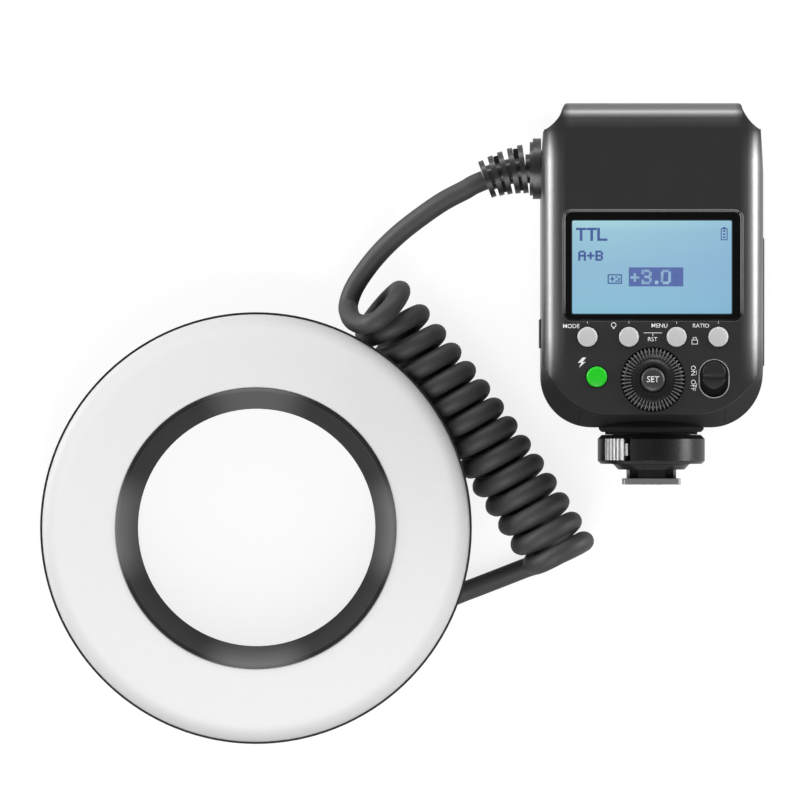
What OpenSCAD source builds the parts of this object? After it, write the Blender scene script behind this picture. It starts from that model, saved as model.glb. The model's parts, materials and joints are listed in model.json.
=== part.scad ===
// Macro ring flash: a ring-shaped flash head, a curly cord and a shoe-mounted controller.
// It lies on a table as on a product sheet: the head on its back, the controller with its display up.
// The origin is on the ring's axis, on the table. +X runs to the controller, +Z is up.

/* [Ring head] */
// Outer diameter of the ring head
ring_d = 139.4; // [132:0.2:141]
// Height of the diffuser's front above the table
ring_h = 30; // [29:0.5:34]
// Diameter of the bezel where it meets the diffuser
bezel_d = 90.4; // [89:0.2:92]
// Clear diameter that the lens looks through
lens_clear_d = 77; // [75:0.5:78]
// Diameter of the seat for lens adapter rings
seat_d = 83; // [82.4:0.2:83.6]
// Depth of the adapter seat
seat_depth = 6; // [5.5:0.5:7]
// Wall thickness of the ring's shell
ring_wall = 2; // [1.6:0.1:2.4]
// Wall thickness of the diffuser
diffuser_wall = 1.8; // [1.4:0.1:2.2]
// Width of the diffuser's rolled outer edge
diffuser_roll = 5; // [3:0.5:6]
// Travel of the two release buttons
release_travel = 2; // [1:0.1:2.4]

/* [Controller case] */
// Width of the case
case_w = 71.2; // [70:0.2:74]
// Height of the case above its flat bottom edge
case_h = 104.2; // [102:0.2:108]
// Depth of the case, front to display side
case_t = 54; // [53:0.5:58]
// Wall thickness of the case
case_wall = 2.2; // [1.8:0.1:2.4]
// Radius of the two large lower corners
corner_r = 16.5; // [14:0.5:18]
// Radius of the long edges on the display side
edge_r = 7.5; // [5:0.5:8]
// Radius of the long edges on the front side
front_edge_r = 6; // [4:0.5:7]
// Half width of the narrow head of the case
head_half_w = 28.6; // [27.6:0.2:28.8]
// Height of the case's shoulders
shoulder_h = 95.8; // [95:0.2:97]
// Half width of the case at its shoulders
shoulder_half_w = 34.7; // [34.4:0.1:35.4]
// Radius of the hollow between shoulder and head
shoulder_r = 13; // [9:0.5:18]
// Radius of the two lower corners of the display face
face_r = 22; // [20:0.5:24]
// Lowest edge of that face above the bottom of the case
face_low = 4.3; // [3.5:0.1:5]
// Sideways growth of the case below that edge, per millimetre of depth
face_flare = 0.19; // [0.15:0.01:0.24]

/* [Display and controls] */
// Width of the glossy display window
window_w = 56.9; // [54:0.1:58]
// Height of the glossy display window
window_h = 35.2; // [33:0.1:36]
// Width of the lit display
display_w = 51.2; // [46:0.1:51.4]
// Height of the lit display
display_h = 29.7; // [26:0.1:29.9]
// Height of the display's centre on the case
display_y = 51.9; // [51:0.1:53]
// Diameter of the four function buttons
button_d = 6.4; // [5.6:0.1:7]
// Diameter of the test button
test_d = 6.6; // [5.8:0.1:7.2]
// Travel of the push buttons
button_travel = 0.7; // [0.4:0.1:0.7]
// Diameter of the select dial
dial_d = 20.3; // [19:0.1:21]
// Number of ribs on the dial
dial_ribs = 48; // [36:1:52]
// Diameter of the button in the dial's centre
set_d = 7.7; // [7:0.1:7.8]
// Width of the power switch recess
switch_w = 9.1; // [8.4:0.1:9.6]
// Height of the power switch recess
switch_h = 11.8; // [11.4:0.1:12.4]
// Travel of the power switch
switch_travel = 2.4; // [1.6:0.1:2.4]

/* [Battery and ports] */
// Height of the battery along the case
battery_h = 42.8; // [38:0.2:43]
// Thickness of the battery
battery_t = 24; // [20:0.5:24]
// Length of the battery, from the bay's end to its panel
battery_len = 60.5; // [50:0.5:61]
// How far the battery's panel stands out of the side
battery_proud = 0.9; // [0.4:0.1:1.2]
// Height of the port cover
port_h = 9.3; // [8.8:0.1:10]
// Length of the port cover
port_len = 22; // [20:0.5:23]

/* [Shoe foot] */
// Diameter of the turning lock collar
collar_d = 34.6; // [33.4:0.2:35.4]
// Height of the lock collar
collar_h = 9.35; // [9:0.05:11]
// Diameter of the neck disc under the case
neck_d = 33.9; // [32:0.1:34.4]
// Diameter of the spindle that the collar turns on
spindle_d = 25; // [24:0.1:25.4]
// Width of the shoe foot plate
foot_w = 18.6; // [18:0.1:18.8]
// Thickness of the shoe foot plate
foot_t = 1.95; // [1.8:0.05:2.1]
// Length of the shoe foot plate
foot_len = 18; // [16:0.5:19]
// Diameter of the lock pin
pin_d = 2; // [1.6:0.1:2.2]
// Travel of the lock pin
pin_travel = 1.6; // [1:0.1:1.8]

/* [Cord] */
// Diameter of the cord
cord_d = 6.4; // [5.8:0.1:6.5]
// Radius of the curls at the middle of the cord
curl_r = 9.15; // [8.8:0.05:9.2]
// Distance between the curls
curl_pitch = 7.44; // [7.2:0.02:7.5]
// Number of turns between the first and the last right-hand tip
curl_turns = 13; // [11:1:13]

/* [Clearances] */
// Gap around keys, dial and switch
key_gap = 0.25; // [0.15:0.05:0.3]
// Gap between pieces that are laid into each other
seat_gap = 0.1; // [0.05:0.05:0.15]
// Radial gap of turning and sliding shafts
run_gap = 0.08; // [0.05:0.01:0.1]
// Gap around the battery in its bay
bay_gap = 0.3; // [0.2:0.05:0.4]

/* [Hidden] */
$fn = 64;

// Ring head
ring_r = ring_d / 2;
rim_lip = 0.6;
diffuser_r = ring_r - rim_lip - seat_gap;
bezel_r = bezel_d / 2;
lens_r = lens_clear_d / 2;
seat_r = seat_d / 2;
seat_wall = 2.2;
collar_out_r = seat_r + seat_wall;
flange_t = 1.6;
bowl_r = ring_r - 9.3;
rear_r = bowl_r - 6.4;
bowl_z = 0.4 * ring_h;
rim_low = ring_h - 5.5;
rim_high = ring_h - 3.2;
bezel_wall = 1.5;
bezel_lip = 0.5;
latch_t = 1.5;
latch_z = [7.4, 9.4];
latch_in_r = collar_out_r + release_travel + 0.6;
latch_w = 2.6;
claw_w = 9;
claw_low = 3.7;
claw_t = 1.5;
claw_bite = 0.6;
claw_leg_w = 2;
stem_w = 18;
stem_slot = claw_w + 1;
seat_land = 3.4;
seat_relief = 0.8;
button_w = 15;
release_proud = 1.6;
release_h = 4.6;
ring_board_z = 13.2;
board_t = 1.6;
reflector_low = ring_board_z + board_t + seat_gap;
reflector_high = rim_high - 0.9;
reflector_t = 0.8;
tube_r = 2.4;
tube_path_r = (bezel_r + diffuser_r) / 2 - 2.9;
led_count = 6;
led_w = 3.4;
board_in_r = collar_out_r + 1.6;
board_out_r = bowl_r - ring_wall - 1.2;
screw_ring_r = rear_r;
screw_r = 1.25;
screw_head_r = 2.4;

// Controller: its frame sits at the middle of the case's bottom edge
ctrl_x = 127.6;
ctrl_y = 32.5;
half_w = case_w / 2;
split_z = case_t / 2;
axis_z = case_t / 2;
top_edge_r = 7;
front_top_r = 5;
shoulder_edge_r = 0.4;
head_edge_r = 1.3;
taper_y = shoulder_h - 14;
cove = [shoulder_half_w - head_half_w - 0.4, case_h - shoulder_h - head_edge_r];
cove_at = cove / 2 + [cove[1], cove[0]] * sqrt(pow(shoulder_r / norm(cove), 2) - 0.25);
inner_z = case_t - case_wall;
panel_half_w = 23.4;
panel_h = 5.5;
panel_z0 = axis_z - 19;
panel_z1 = axis_z + 19;
window_depth = 1.2;
window_corner_r = 2.4;
display_lip = 0.6;
beam_w = 40;
beam_h = 24;
beam_step = 2.1;
beam_y = display_y + 4;
button_y = 29.1;
button_x = [-21, -7.7, 7.6, 21];
key_rise = 0.9;
key_flange = 0.8;
key_flange_t = 1.3;
flange_top_z = inner_z - 0.3;
test_x = -18;
test_y = 16.3;
dial_y = 15.4;
dial_rise = 1.5;
dial_flange = 0.5;
dial_rib_in = 6.8;
set_rise = 2.1;
encoder_r = 4.9;
encoder_bore_r = 4.2;
switch_x = 19.6;
switch_y = 15.65;
switch_depth = 1.4;
knob_w = switch_w - 1.9;
knob_h = switch_h - switch_travel - 0.7;
knob_y = switch_y + switch_travel / 2;
main_board_z = inner_z - 10.8;
board_top = main_board_z + board_t;
board_half_w = half_w - case_wall - 2.4;
board_low_y = 19.5;
board_high_y = 71.5;
board_tail_half_w = 21.8;
tact_h = 3.8;
stem_low = board_top + tact_h + button_travel + 0.1;
post_r = 2;
post_places = [[-29, 23.5], [29, 23.5], [-29, 70.2], [29, 70.2]];
boss_places = [[-25.5, 12], [25.5, 12], [-28.4, 75.6], [28.4, 75.6]];
boss_r = 3;
case_screw_len = split_z + 8;
battery_y = 40.5;
battery_z = case_wall + seat_gap + 1.2 + bay_gap + battery_t / 2;
bay_wall = 1.2;
bay_back_x = half_w + battery_proud - battery_len - bay_gap;
bay_end_x = half_w - front_edge_r + 0.4;
bay_top_y = battery_y + battery_h / 2 + bay_gap + bay_wall;
panel_over = 0.5;
port_y = 30.25;
port_z = split_z;
port_depth = 1.3;
port_t = 1.7;
hinge_r = 0.9;
socket_len = 5;
gland_y = case_h - 20.7;
gland_hole_r = 6;
gland_flange_r = 9.8;
gland_flange_t = 2.6;
gland_step_r = 8.65;
gland_step_t = 2.4;
gland_core_r = 4.1;
gland_len = 13.6;
gland_tilt = 8;
gland_bend = 15;
gland_rings = 5;
gland_ring_t = 1.7;
gland_big_r = 7.85;
gland_small_r = 6.25;
cap_room = case_h - case_wall - bay_top_y;
cap_r = 0.285 * cap_room;
cap_len = 46;
cap_y = bay_top_y + cap_room / 2;

// Shoe foot, measured down from the bottom of the case
neck_low = -1.5;
collar_top = neck_low - 0.9;
collar_low = collar_top - collar_h;
cone_top = collar_low - 0.15;
cone_low = cone_top - 1.7;
plate_top = cone_low - 2.85;
plate_low = plate_top - foot_t;
spindle_r = spindle_d / 2;
collar_r = collar_d / 2;
cone_r = spindle_r - 0.25;
cone_small_r = cone_r - 1.55;
rail_x = 7;
rail_t = 0.9;
insert_w = 8.6;
insert_len = 9;
pin_z = 5.8;
tab_from = 32;
tab_to = 61;
window_from = 24;
window_to = 64;
tab_h = 6.9;
tab_ribs = 5;
tab_travel = 1;

// Cord: the curls lie on the table beside the ring, from the lead's loop to the lead to the ring
cord_r = cord_d / 2;
curl_z = curl_r + cord_r + 0.15;
curl_from = [39.3, 71.4];
curl_to = [98.7, -9.7];
curl_dir = (curl_to - curl_from) / norm(curl_to - curl_from);
curl_side = [-curl_dir[1], curl_dir[0]];
curl_bow = 2.2;
curl_open = norm(curl_to - curl_from) - curl_pitch * curl_turns;
open_turns = 1;
curl_tilt = 0.35;
first_tilt = 5.05;
first_tilt_turns = 0.35;
end_lift = 6;
lift_turns = 5;
end_pull = 43;
rings_per_curl = 8;
curl_sides = 6;
lead_sides = 10;
lead_steps = 2;
controller_route = [[67.5, 109.2, 26.4], [60.6, 105.6, 24.6], [53.8, 101, 21.8], [47, 95.8, 18.4],
    [40.8, 90, 14.6], [35.6, 83.8, 11.2], [31.8, 77.6, 8.6], [30, 72.6, 8.4], [30, 68.6, 11],
    [31.2, 66, 15.4], [33, 65.2, 19.6]];
ring_route = [[87.2, -13.2, 3.6], [80, -16, 4.2], [72.2, -19, 5.4]];
ring_gland_at = [62.5, -22.8, 6.5];
ring_gland_dir = [0.926, 0.378, 0];
ring_gland_r = 5.5;
ring_gland_len = 13;

body_colour = "#2c2c2d";
black_colour = "#191919";
metal_colour = "#c9cacc";

function unit(v) = v / norm(v);
function last(list) = list[len(list) - 1];
function mix(a, b, t) = a + (b - a) * t;

// Arc of a circle as points, for profiles
function arc(centre, r, from, to, steps) =
    [for (i = [0:steps]) centre + r * [cos(mix(from, to, i / steps)), sin(mix(from, to, i / steps))]];

// Quadratic curve through a start, a pull point and an end
function curve(a, b, c, steps) =
    [for (i = [0:steps]) let (t = i / steps) (1 - t) * (1 - t) * a + 2 * t * (1 - t) * b + t * t * c];

// Smooth route through hand-chosen points
function spline_point(p, i, t) =
    let (
        a = p[max(i - 1, 0)],
        b = p[i],
        c = p[i + 1],
        d = p[min(i + 2, len(p) - 1)]
    )
    0.5 * (2 * b + (c - a) * t + (2 * a - 5 * b + 4 * c - d) * t * t + (3 * b - a - 3 * c + d) * t * t * t);
function spline(p, steps) =
    concat([for (i = [0:len(p) - 2], s = [0:steps - 1]) spline_point(p, i, s / steps)], [last(p)]);

// Directions along a route, with the two end directions given
function directions(p, first, final) =
    [for (i = [0:len(p) - 1]) i == 0 ? first : i == len(p) - 1 ? final : unit(p[i + 1] - p[i - 1])];

// Side vectors carried along a route without twist
function carried(d, side, i = 0) =
    let (flat = unit(side - d[i] * (side * d[i])))
    i == len(d) - 1 ? [flat] : concat([flat], carried(d, flat, i + 1));

// Tube of triangles around a route
module tube(route, dirs, first_side, r, sides) {
    across = carried(dirs, first_side);
    rings = len(route);
    points = [for (i = [0:rings - 1], k = [0:sides - 1])
        route[i] + r * (cos(360 * k / sides) * across[i] + sin(360 * k / sides) * cross(dirs[i], across[i]))];
    walls = [for (i = [0:rings - 2], k = [0:sides - 1])
        let (a = i * sides + k, b = i * sides + (k + 1) % sides)
        each [[a, a + sides, b], [b, a + sides, b + sides]]];
    lids = [for (k = [1:sides - 2]) each [[0, k, k + 1],
        [(rings - 1) * sides, (rings - 1) * sides + k + 1, (rings - 1) * sides + k]]];
    polyhedron(points, concat(walls, lids));
}

// One point of the curls: n counts turns from the first right-hand tip
function eased(t) = let (c = min(max(t, 0), 1)) c * c * (3 - 2 * c);
function curl_along(n) =
    curl_pitch * n + curl_open * (1 - exp(-n / open_turns))
    - (curl_tilt + first_tilt * exp(-(n + 0.25) / first_tilt_turns)) * sin(360 * n)
    - end_pull * pow(max(n - curl_turns, 0), 2);
function curl_lift(n) =
    end_lift * eased((n - curl_turns + lift_turns) / lift_turns) * (1 - eased((n - curl_turns) * 4));
function curl_share(n) = n / curl_turns;
function curl_point(n) =
    let (
        along = curl_along(n),
        bow = curl_bow * 4 * curl_share(n) * (1 - curl_share(n)),
        plan = curl_from + curl_dir * along + curl_side * (curl_r * cos(360 * n) + bow)
    )
    [plan[0], plan[1], curl_z + curl_lift(n) - curl_r * sin(360 * n)];
function curl_heading(n) = unit(curl_point(n + 0.01) - curl_point(n - 0.01));
function level(v) = unit([v[0], v[1], 0]);

curl_first = -0.25;
curl_last = curl_turns + 0.25;
curl_count = round((curl_last - curl_first) * rings_per_curl);
curl_line = [for (i = [0:curl_count]) curl_point(mix(curl_first, curl_last, i / curl_count))];
curl_start_dir = level(curl_heading(curl_first));
curl_end_dir = level(curl_heading(curl_last));
coil_route = concat([curl_line[0] - cord_d * curl_start_dir], curl_line,
    [last(curl_line) + cord_d * curl_end_dir]);
coil_dirs = directions(coil_route, curl_start_dir, curl_end_dir);
coil_gap = min([for (i = [0:len(coil_route) - 1], j = [i + 6:1:len(coil_route) - 1])
    norm(coil_route[i] - coil_route[j])]) - cord_d;
echo(least_gap_between_curls = coil_gap);

// End of the bent strain relief on the controller, where the lead begins
function gland_heading(s) = 180 + gland_tilt + gland_bend * s / gland_len;
gland_start = [ctrl_x - half_w - gland_flange_t - gland_step_t, ctrl_y + gland_y];
function gland_point(s) =
    gland_start + s * [cos(gland_heading(s / 2)), sin(gland_heading(s / 2))];
gland_end_dir = [cos(gland_heading(gland_len)), sin(gland_heading(gland_len)), 0];
gland_end = [gland_point(gland_len)[0], gland_point(gland_len)[1], axis_z] + 0.15 * gland_end_dir;

// Rounded rectangle with a radius for each corner: lower left, lower right, upper right, upper left
module soft_rect(low, high, radii) {
    x0 = low[0];
    y0 = low[1];
    x1 = high[0];
    y1 = high[1];
    corners = [[x0, y0, 1, 1], [x1, y0, -1, 1], [x1, y1, -1, -1], [x0, y1, 1, -1]];
    polygon([[x0 + radii[0], y0], [x1 - radii[1], y0], [x1, y0 + radii[1]], [x1, y1 - radii[2]],
        [x1 - radii[2], y1], [x0 + radii[3], y1], [x0, y1 - radii[3]], [x0, y0 + radii[0]]]);
    for (i = [0:3])
        translate([corners[i][0] + corners[i][2] * radii[i], corners[i][1] + corners[i][3] * radii[i]])
            circle(r = radii[i]);
}

module pill(w, h) {
    soft_rect([-w / 2, -h / 2], [w / 2, h / 2], [w, w, w, w] / 2);
}

module centred_rect(w, h, r) {
    soft_rect([-w / 2, -h / 2], [w / 2, h / 2], [r, r, r, r]);
}

module at_controller() {
    translate([ctrl_x, ctrl_y, 0]) children();
}

// Cylinder along +Y
module rod_y(r, y0, y1) {
    translate([0, y0, 0]) rotate([-90, 0, 0]) cylinder(r = r, h = y1 - y0);
}

// Cylinder along +X
module rod_x(r, x0, x1) {
    translate([x0, 0, 0]) rotate([0, 90, 0]) cylinder(r = r, h = x1 - x0);
}

module rod_z(r, z0, z1) {
    translate([0, 0, z0]) cylinder(r = r, h = z1 - z0);
}

module block(low, high) {
    translate(low) cube(high - low);
}

module block_2d(low, high) {
    translate(low) square(high - low);
}

// Outer form of the ring's bowl: flat back, round belly, flare out to the rim
function bowl_profile(inset) = concat(
    curve([rear_r, inset], [bowl_r - 2 - inset, inset], [bowl_r - inset, bowl_z], 6),
    curve([bowl_r - inset, bowl_z], [bowl_r + 0.8 - inset, rim_low - 4.5], [ring_r - inset, rim_low + inset], 6));

module ring_rear_housing() {
    color(body_colour)
    difference() {
        union() {
            rotate_extrude($fn = 128) difference() {
                polygon(concat([[seat_r, 0]], bowl_profile(0), [[ring_r, rim_high],
                    [ring_r - rim_lip, rim_high], [ring_r - rim_lip, rim_low + ring_wall],
                    [seat_r, rim_low + ring_wall]]));
                polygon(concat([[collar_out_r, ring_wall]], bowl_profile(ring_wall),
                    [[ring_r - ring_wall, rim_low + ring_wall + 1], [collar_out_r, rim_low + ring_wall + 1]]));
                translate([0, seat_depth + flange_t]) square([collar_out_r + 0.01, ring_h]);
                translate([seat_r - 1, seat_land]) square([seat_relief + 1, seat_depth - seat_land]);
            }
            rotate_extrude($fn = 128)
                translate([lens_r, seat_depth]) square([seat_wall + seat_r - lens_r, flange_t]);
            intersection() {
                rotate_extrude($fn = 128)
                    polygon(concat([[seat_r, 0.6]], bowl_profile(0.6), [[seat_r, rim_low]]));
                for (a = [45:90:315]) rotate(a) translate([screw_ring_r, 0])
                    rod_z(screw_head_r + 0.8, 0, ring_board_z);
            }
        }
        for (a = [45:90:315]) rotate(a) translate([screw_ring_r, 0]) {
            rod_z(screw_r + seat_gap, -1, ring_board_z + 1);
            rod_z(screw_head_r + seat_gap, -1, 2.7);
        }
        for (side = [0, 1]) rotate(180 * side) {
            block([-claw_w / 2 - key_gap, -collar_out_r - 1, claw_low - key_gap],
                [claw_w / 2 + key_gap, -lens_r - 1.5, claw_low + claw_t + key_gap]);
            block([-button_w / 2 - key_gap, latch_in_r + 3, latch_z[side] + latch_t / 2 - release_h / 2 - key_gap],
                [button_w / 2 + key_gap, ring_r, latch_z[side] + latch_t / 2 + release_h / 2 + key_gap]);
        }
        ring_gland_hole();
    }
}

module ring_gland_hole() {
    translate(ring_gland_at) rotate([0, 90, atan2(ring_gland_dir[1], ring_gland_dir[0])])
        rod_z(ring_gland_r + seat_gap, -ring_gland_len - 1, 3);
}

module ring_bezel() {
    low_z = seat_depth + flange_t;
    color(black_colour)
    rotate_extrude($fn = 128)
        polygon([[lens_r, low_z], [bezel_r - bezel_lip, ring_h + bezel_lip], [bezel_r + 0.6, ring_h + bezel_lip],
            [bezel_r + 0.6, ring_h - 0.6], [bezel_r + 0.2, ring_h - 0.6],
            [lens_r + bezel_wall + 0.4, low_z + 1.4], [collar_out_r, low_z + 1.4], [collar_out_r, low_z]]);
}

module ring_diffuser() {
    top_z = ring_h;
    low_z = rim_low + ring_wall;
    flat_r = diffuser_r - diffuser_roll;
    inner_r = bezel_r + 0.6 + seat_gap;
    roll_h = top_z - rim_high - 0.2;
    color("#e9e9ea")
    rotate_extrude($fn = 128)
        polygon(concat([[inner_r, top_z - diffuser_wall], [inner_r, top_z]],
            curve([flat_r, top_z], [diffuser_r - 0.4, top_z], [diffuser_r, top_z - roll_h - 0.2], 8),
            [[diffuser_r, low_z + seat_gap], [diffuser_r - diffuser_wall, low_z + seat_gap]],
            curve([diffuser_r - diffuser_wall, top_z - roll_h - 0.4],
                [diffuser_r - diffuser_wall - 0.4, top_z - diffuser_wall],
                [flat_r - 0.6, top_z - diffuser_wall], 6)));
}

// Half of the trough behind the diffuser
module reflector_half() {
    low_in = tube_path_r - 3.6;
    low_out = tube_path_r + 3.6;
    high_in = bezel_r + 1.6;
    high_out = diffuser_r - diffuser_wall - 3.4;
    rotate([0, 0, 3]) rotate_extrude(angle = 174, $fn = 128)
        polygon([[low_in, reflector_low], [low_out, reflector_low], [high_out, reflector_high],
            [high_out - 1, reflector_high], [low_out - reflector_t, reflector_low + reflector_t],
            [low_in + reflector_t, reflector_low + reflector_t], [high_in + 1, reflector_high],
            [high_in, reflector_high]]);
}

module reflector_upper() {
    color("#d9dadb") reflector_half();
}

module reflector_lower() {
    color("#d9dadb") rotate([0, 0, 180]) reflector_half();
}

// Half-ring flash tube with its two metal end caps
module flash_tube_half() {
    tube_z = reflector_low + reflector_t + tube_r + 0.3;
    rotate([0, 0, 8]) rotate_extrude(angle = 164, $fn = 128)
        translate([tube_path_r, tube_z]) circle(r = tube_r, $fn = 24);
    for (a = [8, 172]) rotate(a) translate([tube_path_r, 0, tube_z]) rotate([90, 0, 0])
        translate([0, 0, -1.6]) cylinder(r = tube_r + 0.2, h = 3.2, $fn = 24);
}

module flash_tube_upper() {
    color("#cfdbe2") flash_tube_half();
}

module flash_tube_lower() {
    color("#cfdbe2") rotate([0, 0, 180]) flash_tube_half();
}

module ring_board() {
    color("#1f6b3a")
    difference() {
        rod_z(board_out_r, ring_board_z + 0.02, ring_board_z + board_t);
        rod_z(board_in_r, ring_board_z - 1, ring_board_z + board_t + 1);
        for (a = [45:90:315]) rotate(a) translate([screw_ring_r, 0])
            rod_z(screw_r + seat_gap, ring_board_z - 1, ring_board_z + board_t + 1);
    }
}

// Focusing lamps in the two gaps between the reflectors
module modelling_leds() {
    last_led = led_count / 2 - 1;
    from_r = board_in_r + 0.3;
    to_r = board_out_r - 0.3 - led_w;
    color("#f1e7b0")
    for (side = [0, 180], i = [0:last_led])
        rotate(side) translate([mix(from_r, to_r, i / last_led), -0.9, ring_board_z + board_t])
            cube([led_w, 1.8, 1.4]);
}

// Sliding frame: the button on one side of the head draws back the claw on the other side
module release_latch(level_z) {
    mid_z = level_z + latch_t / 2;
    difference() {
        union() {
            rod_z(latch_in_r + latch_w, level_z, level_z + latch_t);
            block([-stem_w / 2, latch_in_r - 4, level_z],
                [stem_w / 2, bowl_r - ring_wall - 3, level_z + latch_t]);
            intersection() {
                rod_z(bowl_r + release_proud, mid_z - release_h / 2, mid_z + release_h / 2);
                block([-button_w / 2, bowl_r - ring_wall - 3.8, mid_z - release_h / 2],
                    [button_w / 2, bowl_r + release_proud + 1, mid_z + release_h / 2]);
            }
        }
        rod_z(latch_in_r, level_z - 1, level_z + latch_t + 1);
        block([-stem_slot / 2, 0, level_z - 3],
            [stem_slot / 2, latch_in_r + latch_w + 2 * release_travel + key_gap, level_z + latch_t + 3]);
        for (x = [-4.5:1.5:4.5])
            translate([x, bowl_r + release_proud, mid_z]) rod_z(0.35, -release_h, release_h);
    }
    block([-claw_w / 2, -latch_in_r - latch_w + 0.4, claw_low],
        [claw_w / 2, -latch_in_r - latch_w + 0.4 + claw_leg_w, level_z + 0.2]);
    block([-claw_w / 2, -latch_in_r - latch_w + 0.4, claw_low],
        [claw_w / 2, -seat_r + claw_bite, claw_low + claw_t]);
}

module release_latch_upper() {
    color(body_colour) release_latch(latch_z[0]);
}

module release_latch_lower() {
    color(body_colour) rotate([0, 0, 180]) release_latch(latch_z[1]);
}

module ring_screws() {
    color(metal_colour)
    for (a = [45:90:315]) rotate(a) translate([screw_ring_r, 0]) {
        difference() {
            rod_z(screw_head_r, 1.3, 2.65);
            for (turn = [0, 90]) rotate(turn) block([-1.3, -0.3, 0], [1.3, 0.3, 2]);
        }
        rod_z(screw_r, 2.6, reflector_low - 0.02);
    }
}

// Moulded strain relief that leads the cord into the back of the ring
module ring_gland() {
    turn = atan2(ring_gland_dir[1], ring_gland_dir[0]);
    color(black_colour)
    intersection() {
        translate(ring_gland_at) rotate([0, 90, turn]) {
            rod_z(ring_gland_r, -ring_gland_len, -2.4);
            rod_z(ring_gland_r - 0.7, -3, -1.4);
            rod_z(ring_gland_r - 0.3, -1.6, 0);
        }
        difference() {
            rod_z(ring_r, 0.3, rim_low);
            rod_z(bowl_r - ring_wall - 3, -1, rim_low + 1);
        }
    }
}

module cord_coil() {
    color("#343434") tube(coil_route, coil_dirs, [0, 0, 1], cord_r, curl_sides);
}

module cord_lead_controller() {
    points = concat([gland_end, gland_end + 0.6 * cord_d * gland_end_dir], controller_route,
        [coil_route[0] - 0.4 * cord_d * curl_start_dir, coil_route[0]]);
    route = spline(points, lead_steps);
    color("#343434")
        tube(route, directions(route, gland_end_dir, curl_start_dir), [0, 0, 1], cord_r, lead_sides);
}

module cord_lead_ring() {
    points = concat([last(coil_route), last(coil_route) + 0.3 * cord_d * curl_end_dir], ring_route,
        [ring_gland_at + 0.8 * cord_d * ring_gland_dir, ring_gland_at]);
    route = spline(points, lead_steps);
    color("#343434")
        tube(route, directions(route, curl_end_dir, -ring_gland_dir), [0, 0, 1], cord_r, lead_sides);
}

// Slotted, bent strain relief on the side of the controller
module cable_gland() {
    gap = (gland_len - gland_ring_t) / (gland_rings - 1);
    color(black_colour) {
        at_controller() translate([0, gland_y, axis_z]) {
            rod_x(gland_flange_r, -half_w - gland_flange_t, -half_w);
            rod_x(gland_step_r, -half_w - gland_flange_t - gland_step_t + 1.4, -half_w - gland_flange_t + 0.1);
            rod_x(gland_core_r + 0.6, -half_w - gland_flange_t - gland_step_t, -half_w - gland_flange_t);
            rod_x(gland_hole_r, -half_w - 0.1, -half_w + case_wall + 1);
            rod_x(gland_hole_r + 1.6, -half_w + case_wall + 0.9, -half_w + case_wall + 1.9);
        }
        for (i = [0:gland_rings - 1]) {
            s = i * gap;
            place = gland_point(s);
            r = mix(gland_big_r, gland_small_r, i / (gland_rings - 1));
            translate([place[0], place[1], axis_z]) rotate([0, 90, gland_heading(s)]) {
                rod_z(r, 0, gland_ring_t);
                if (i < gland_rings - 1) {
                    rod_z(gland_core_r, 0, gap + 0.4);
                    for (side = [0, 180]) rotate([0, 0, side + 90 * (i % 2)])
                        block([-2, gland_core_r - 0.6, gland_ring_t - 0.1], [2, r - 1, gap + 0.2]);
                }
            }
        }
    }
}

// Outline of the case seen on its display, drawn in by a wall
module case_outline(inset) {
    wide = [half_w - inset, taper_y];
    narrow = [shoulder_half_w - inset, shoulder_h];
    low = 2 * wide - narrow;
    high = 2 * narrow - wide;
    intersection() {
        soft_rect([-half_w + inset, inset], [half_w - inset, shoulder_h - inset],
            [corner_r - inset, corner_r - inset, shoulder_edge_r, shoulder_edge_r]);
        polygon([high, [-high[0], high[1]], [-low[0], low[1]], [-low[0], -5], [low[0], -5], low]);
    }
    soft_rect([-head_half_w + inset, shoulder_h / 2], [head_half_w - inset, case_h - inset],
        [1, 1, head_edge_r, head_edge_r]);
    for (side = [0, 1]) mirror([side, 0]) translate([head_half_w - inset - 0.01, shoulder_h - inset - 0.01])
        difference() {
            polygon([[0, 0], [cove[0], 0], [0, cove[1]]]);
            translate(cove_at) circle(r = shoulder_r);
        }
}

// The whole form of the case: its outline, its two edge profiles and the curved flare under the display face
module case_form(inset) {
    rear_r = edge_r - inset;
    low_r = front_edge_r - inset;
    slope_inset = inset * sqrt(1 + face_flare * face_flare);
    face_y = face_low + face_r;
    face_x = half_w - 0.6 - face_r;
    wide_r = face_r + case_t * face_flare - slope_inset;
    intersection() {
        translate([0, 0, inset]) linear_extrude(case_t - 2 * inset) case_outline(inset);
        translate([0, case_h + 5, 0]) rotate([90, 0, 0]) linear_extrude(case_h + 10)
            soft_rect([-half_w + inset, inset], [half_w - inset, case_t - inset],
                [low_r, low_r, rear_r, rear_r]);
        translate([-half_w - 5, 0, 0]) rotate([90, 0, 90]) linear_extrude(case_w + 10)
            soft_rect([inset, inset], [case_h - inset, case_t - inset],
                [front_top_r - inset, front_top_r - inset, top_edge_r - inset, 0.3]);
        union() {
            for (side = [-1, 1]) translate([side * face_x, face_y, 0])
                cylinder(r1 = wide_r, r2 = face_r - slope_inset, h = case_t, $fn = 96);
            translate([-face_x, face_y, 0]) rotate([90, 0, 90]) linear_extrude(2 * face_x)
                polygon([[-wide_r, 0], [0, 0], [0, case_t], [slope_inset - face_r, case_t]]);
            block([-half_w - 5, face_y - 0.1, -1], [half_w + 5, case_h + 5, case_t + 1]);
        }
    }
}

module case_shell() {
    difference() {
        case_form(0);
        case_form(case_wall);
    }
}

// Room for the base plate in the bottom of the case
module panel_room(gap) {
    block([-panel_half_w - gap, neck_low - 1, panel_z0 - gap],
        [panel_half_w + gap, panel_h + gap, panel_z1 + gap]);
}

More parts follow.
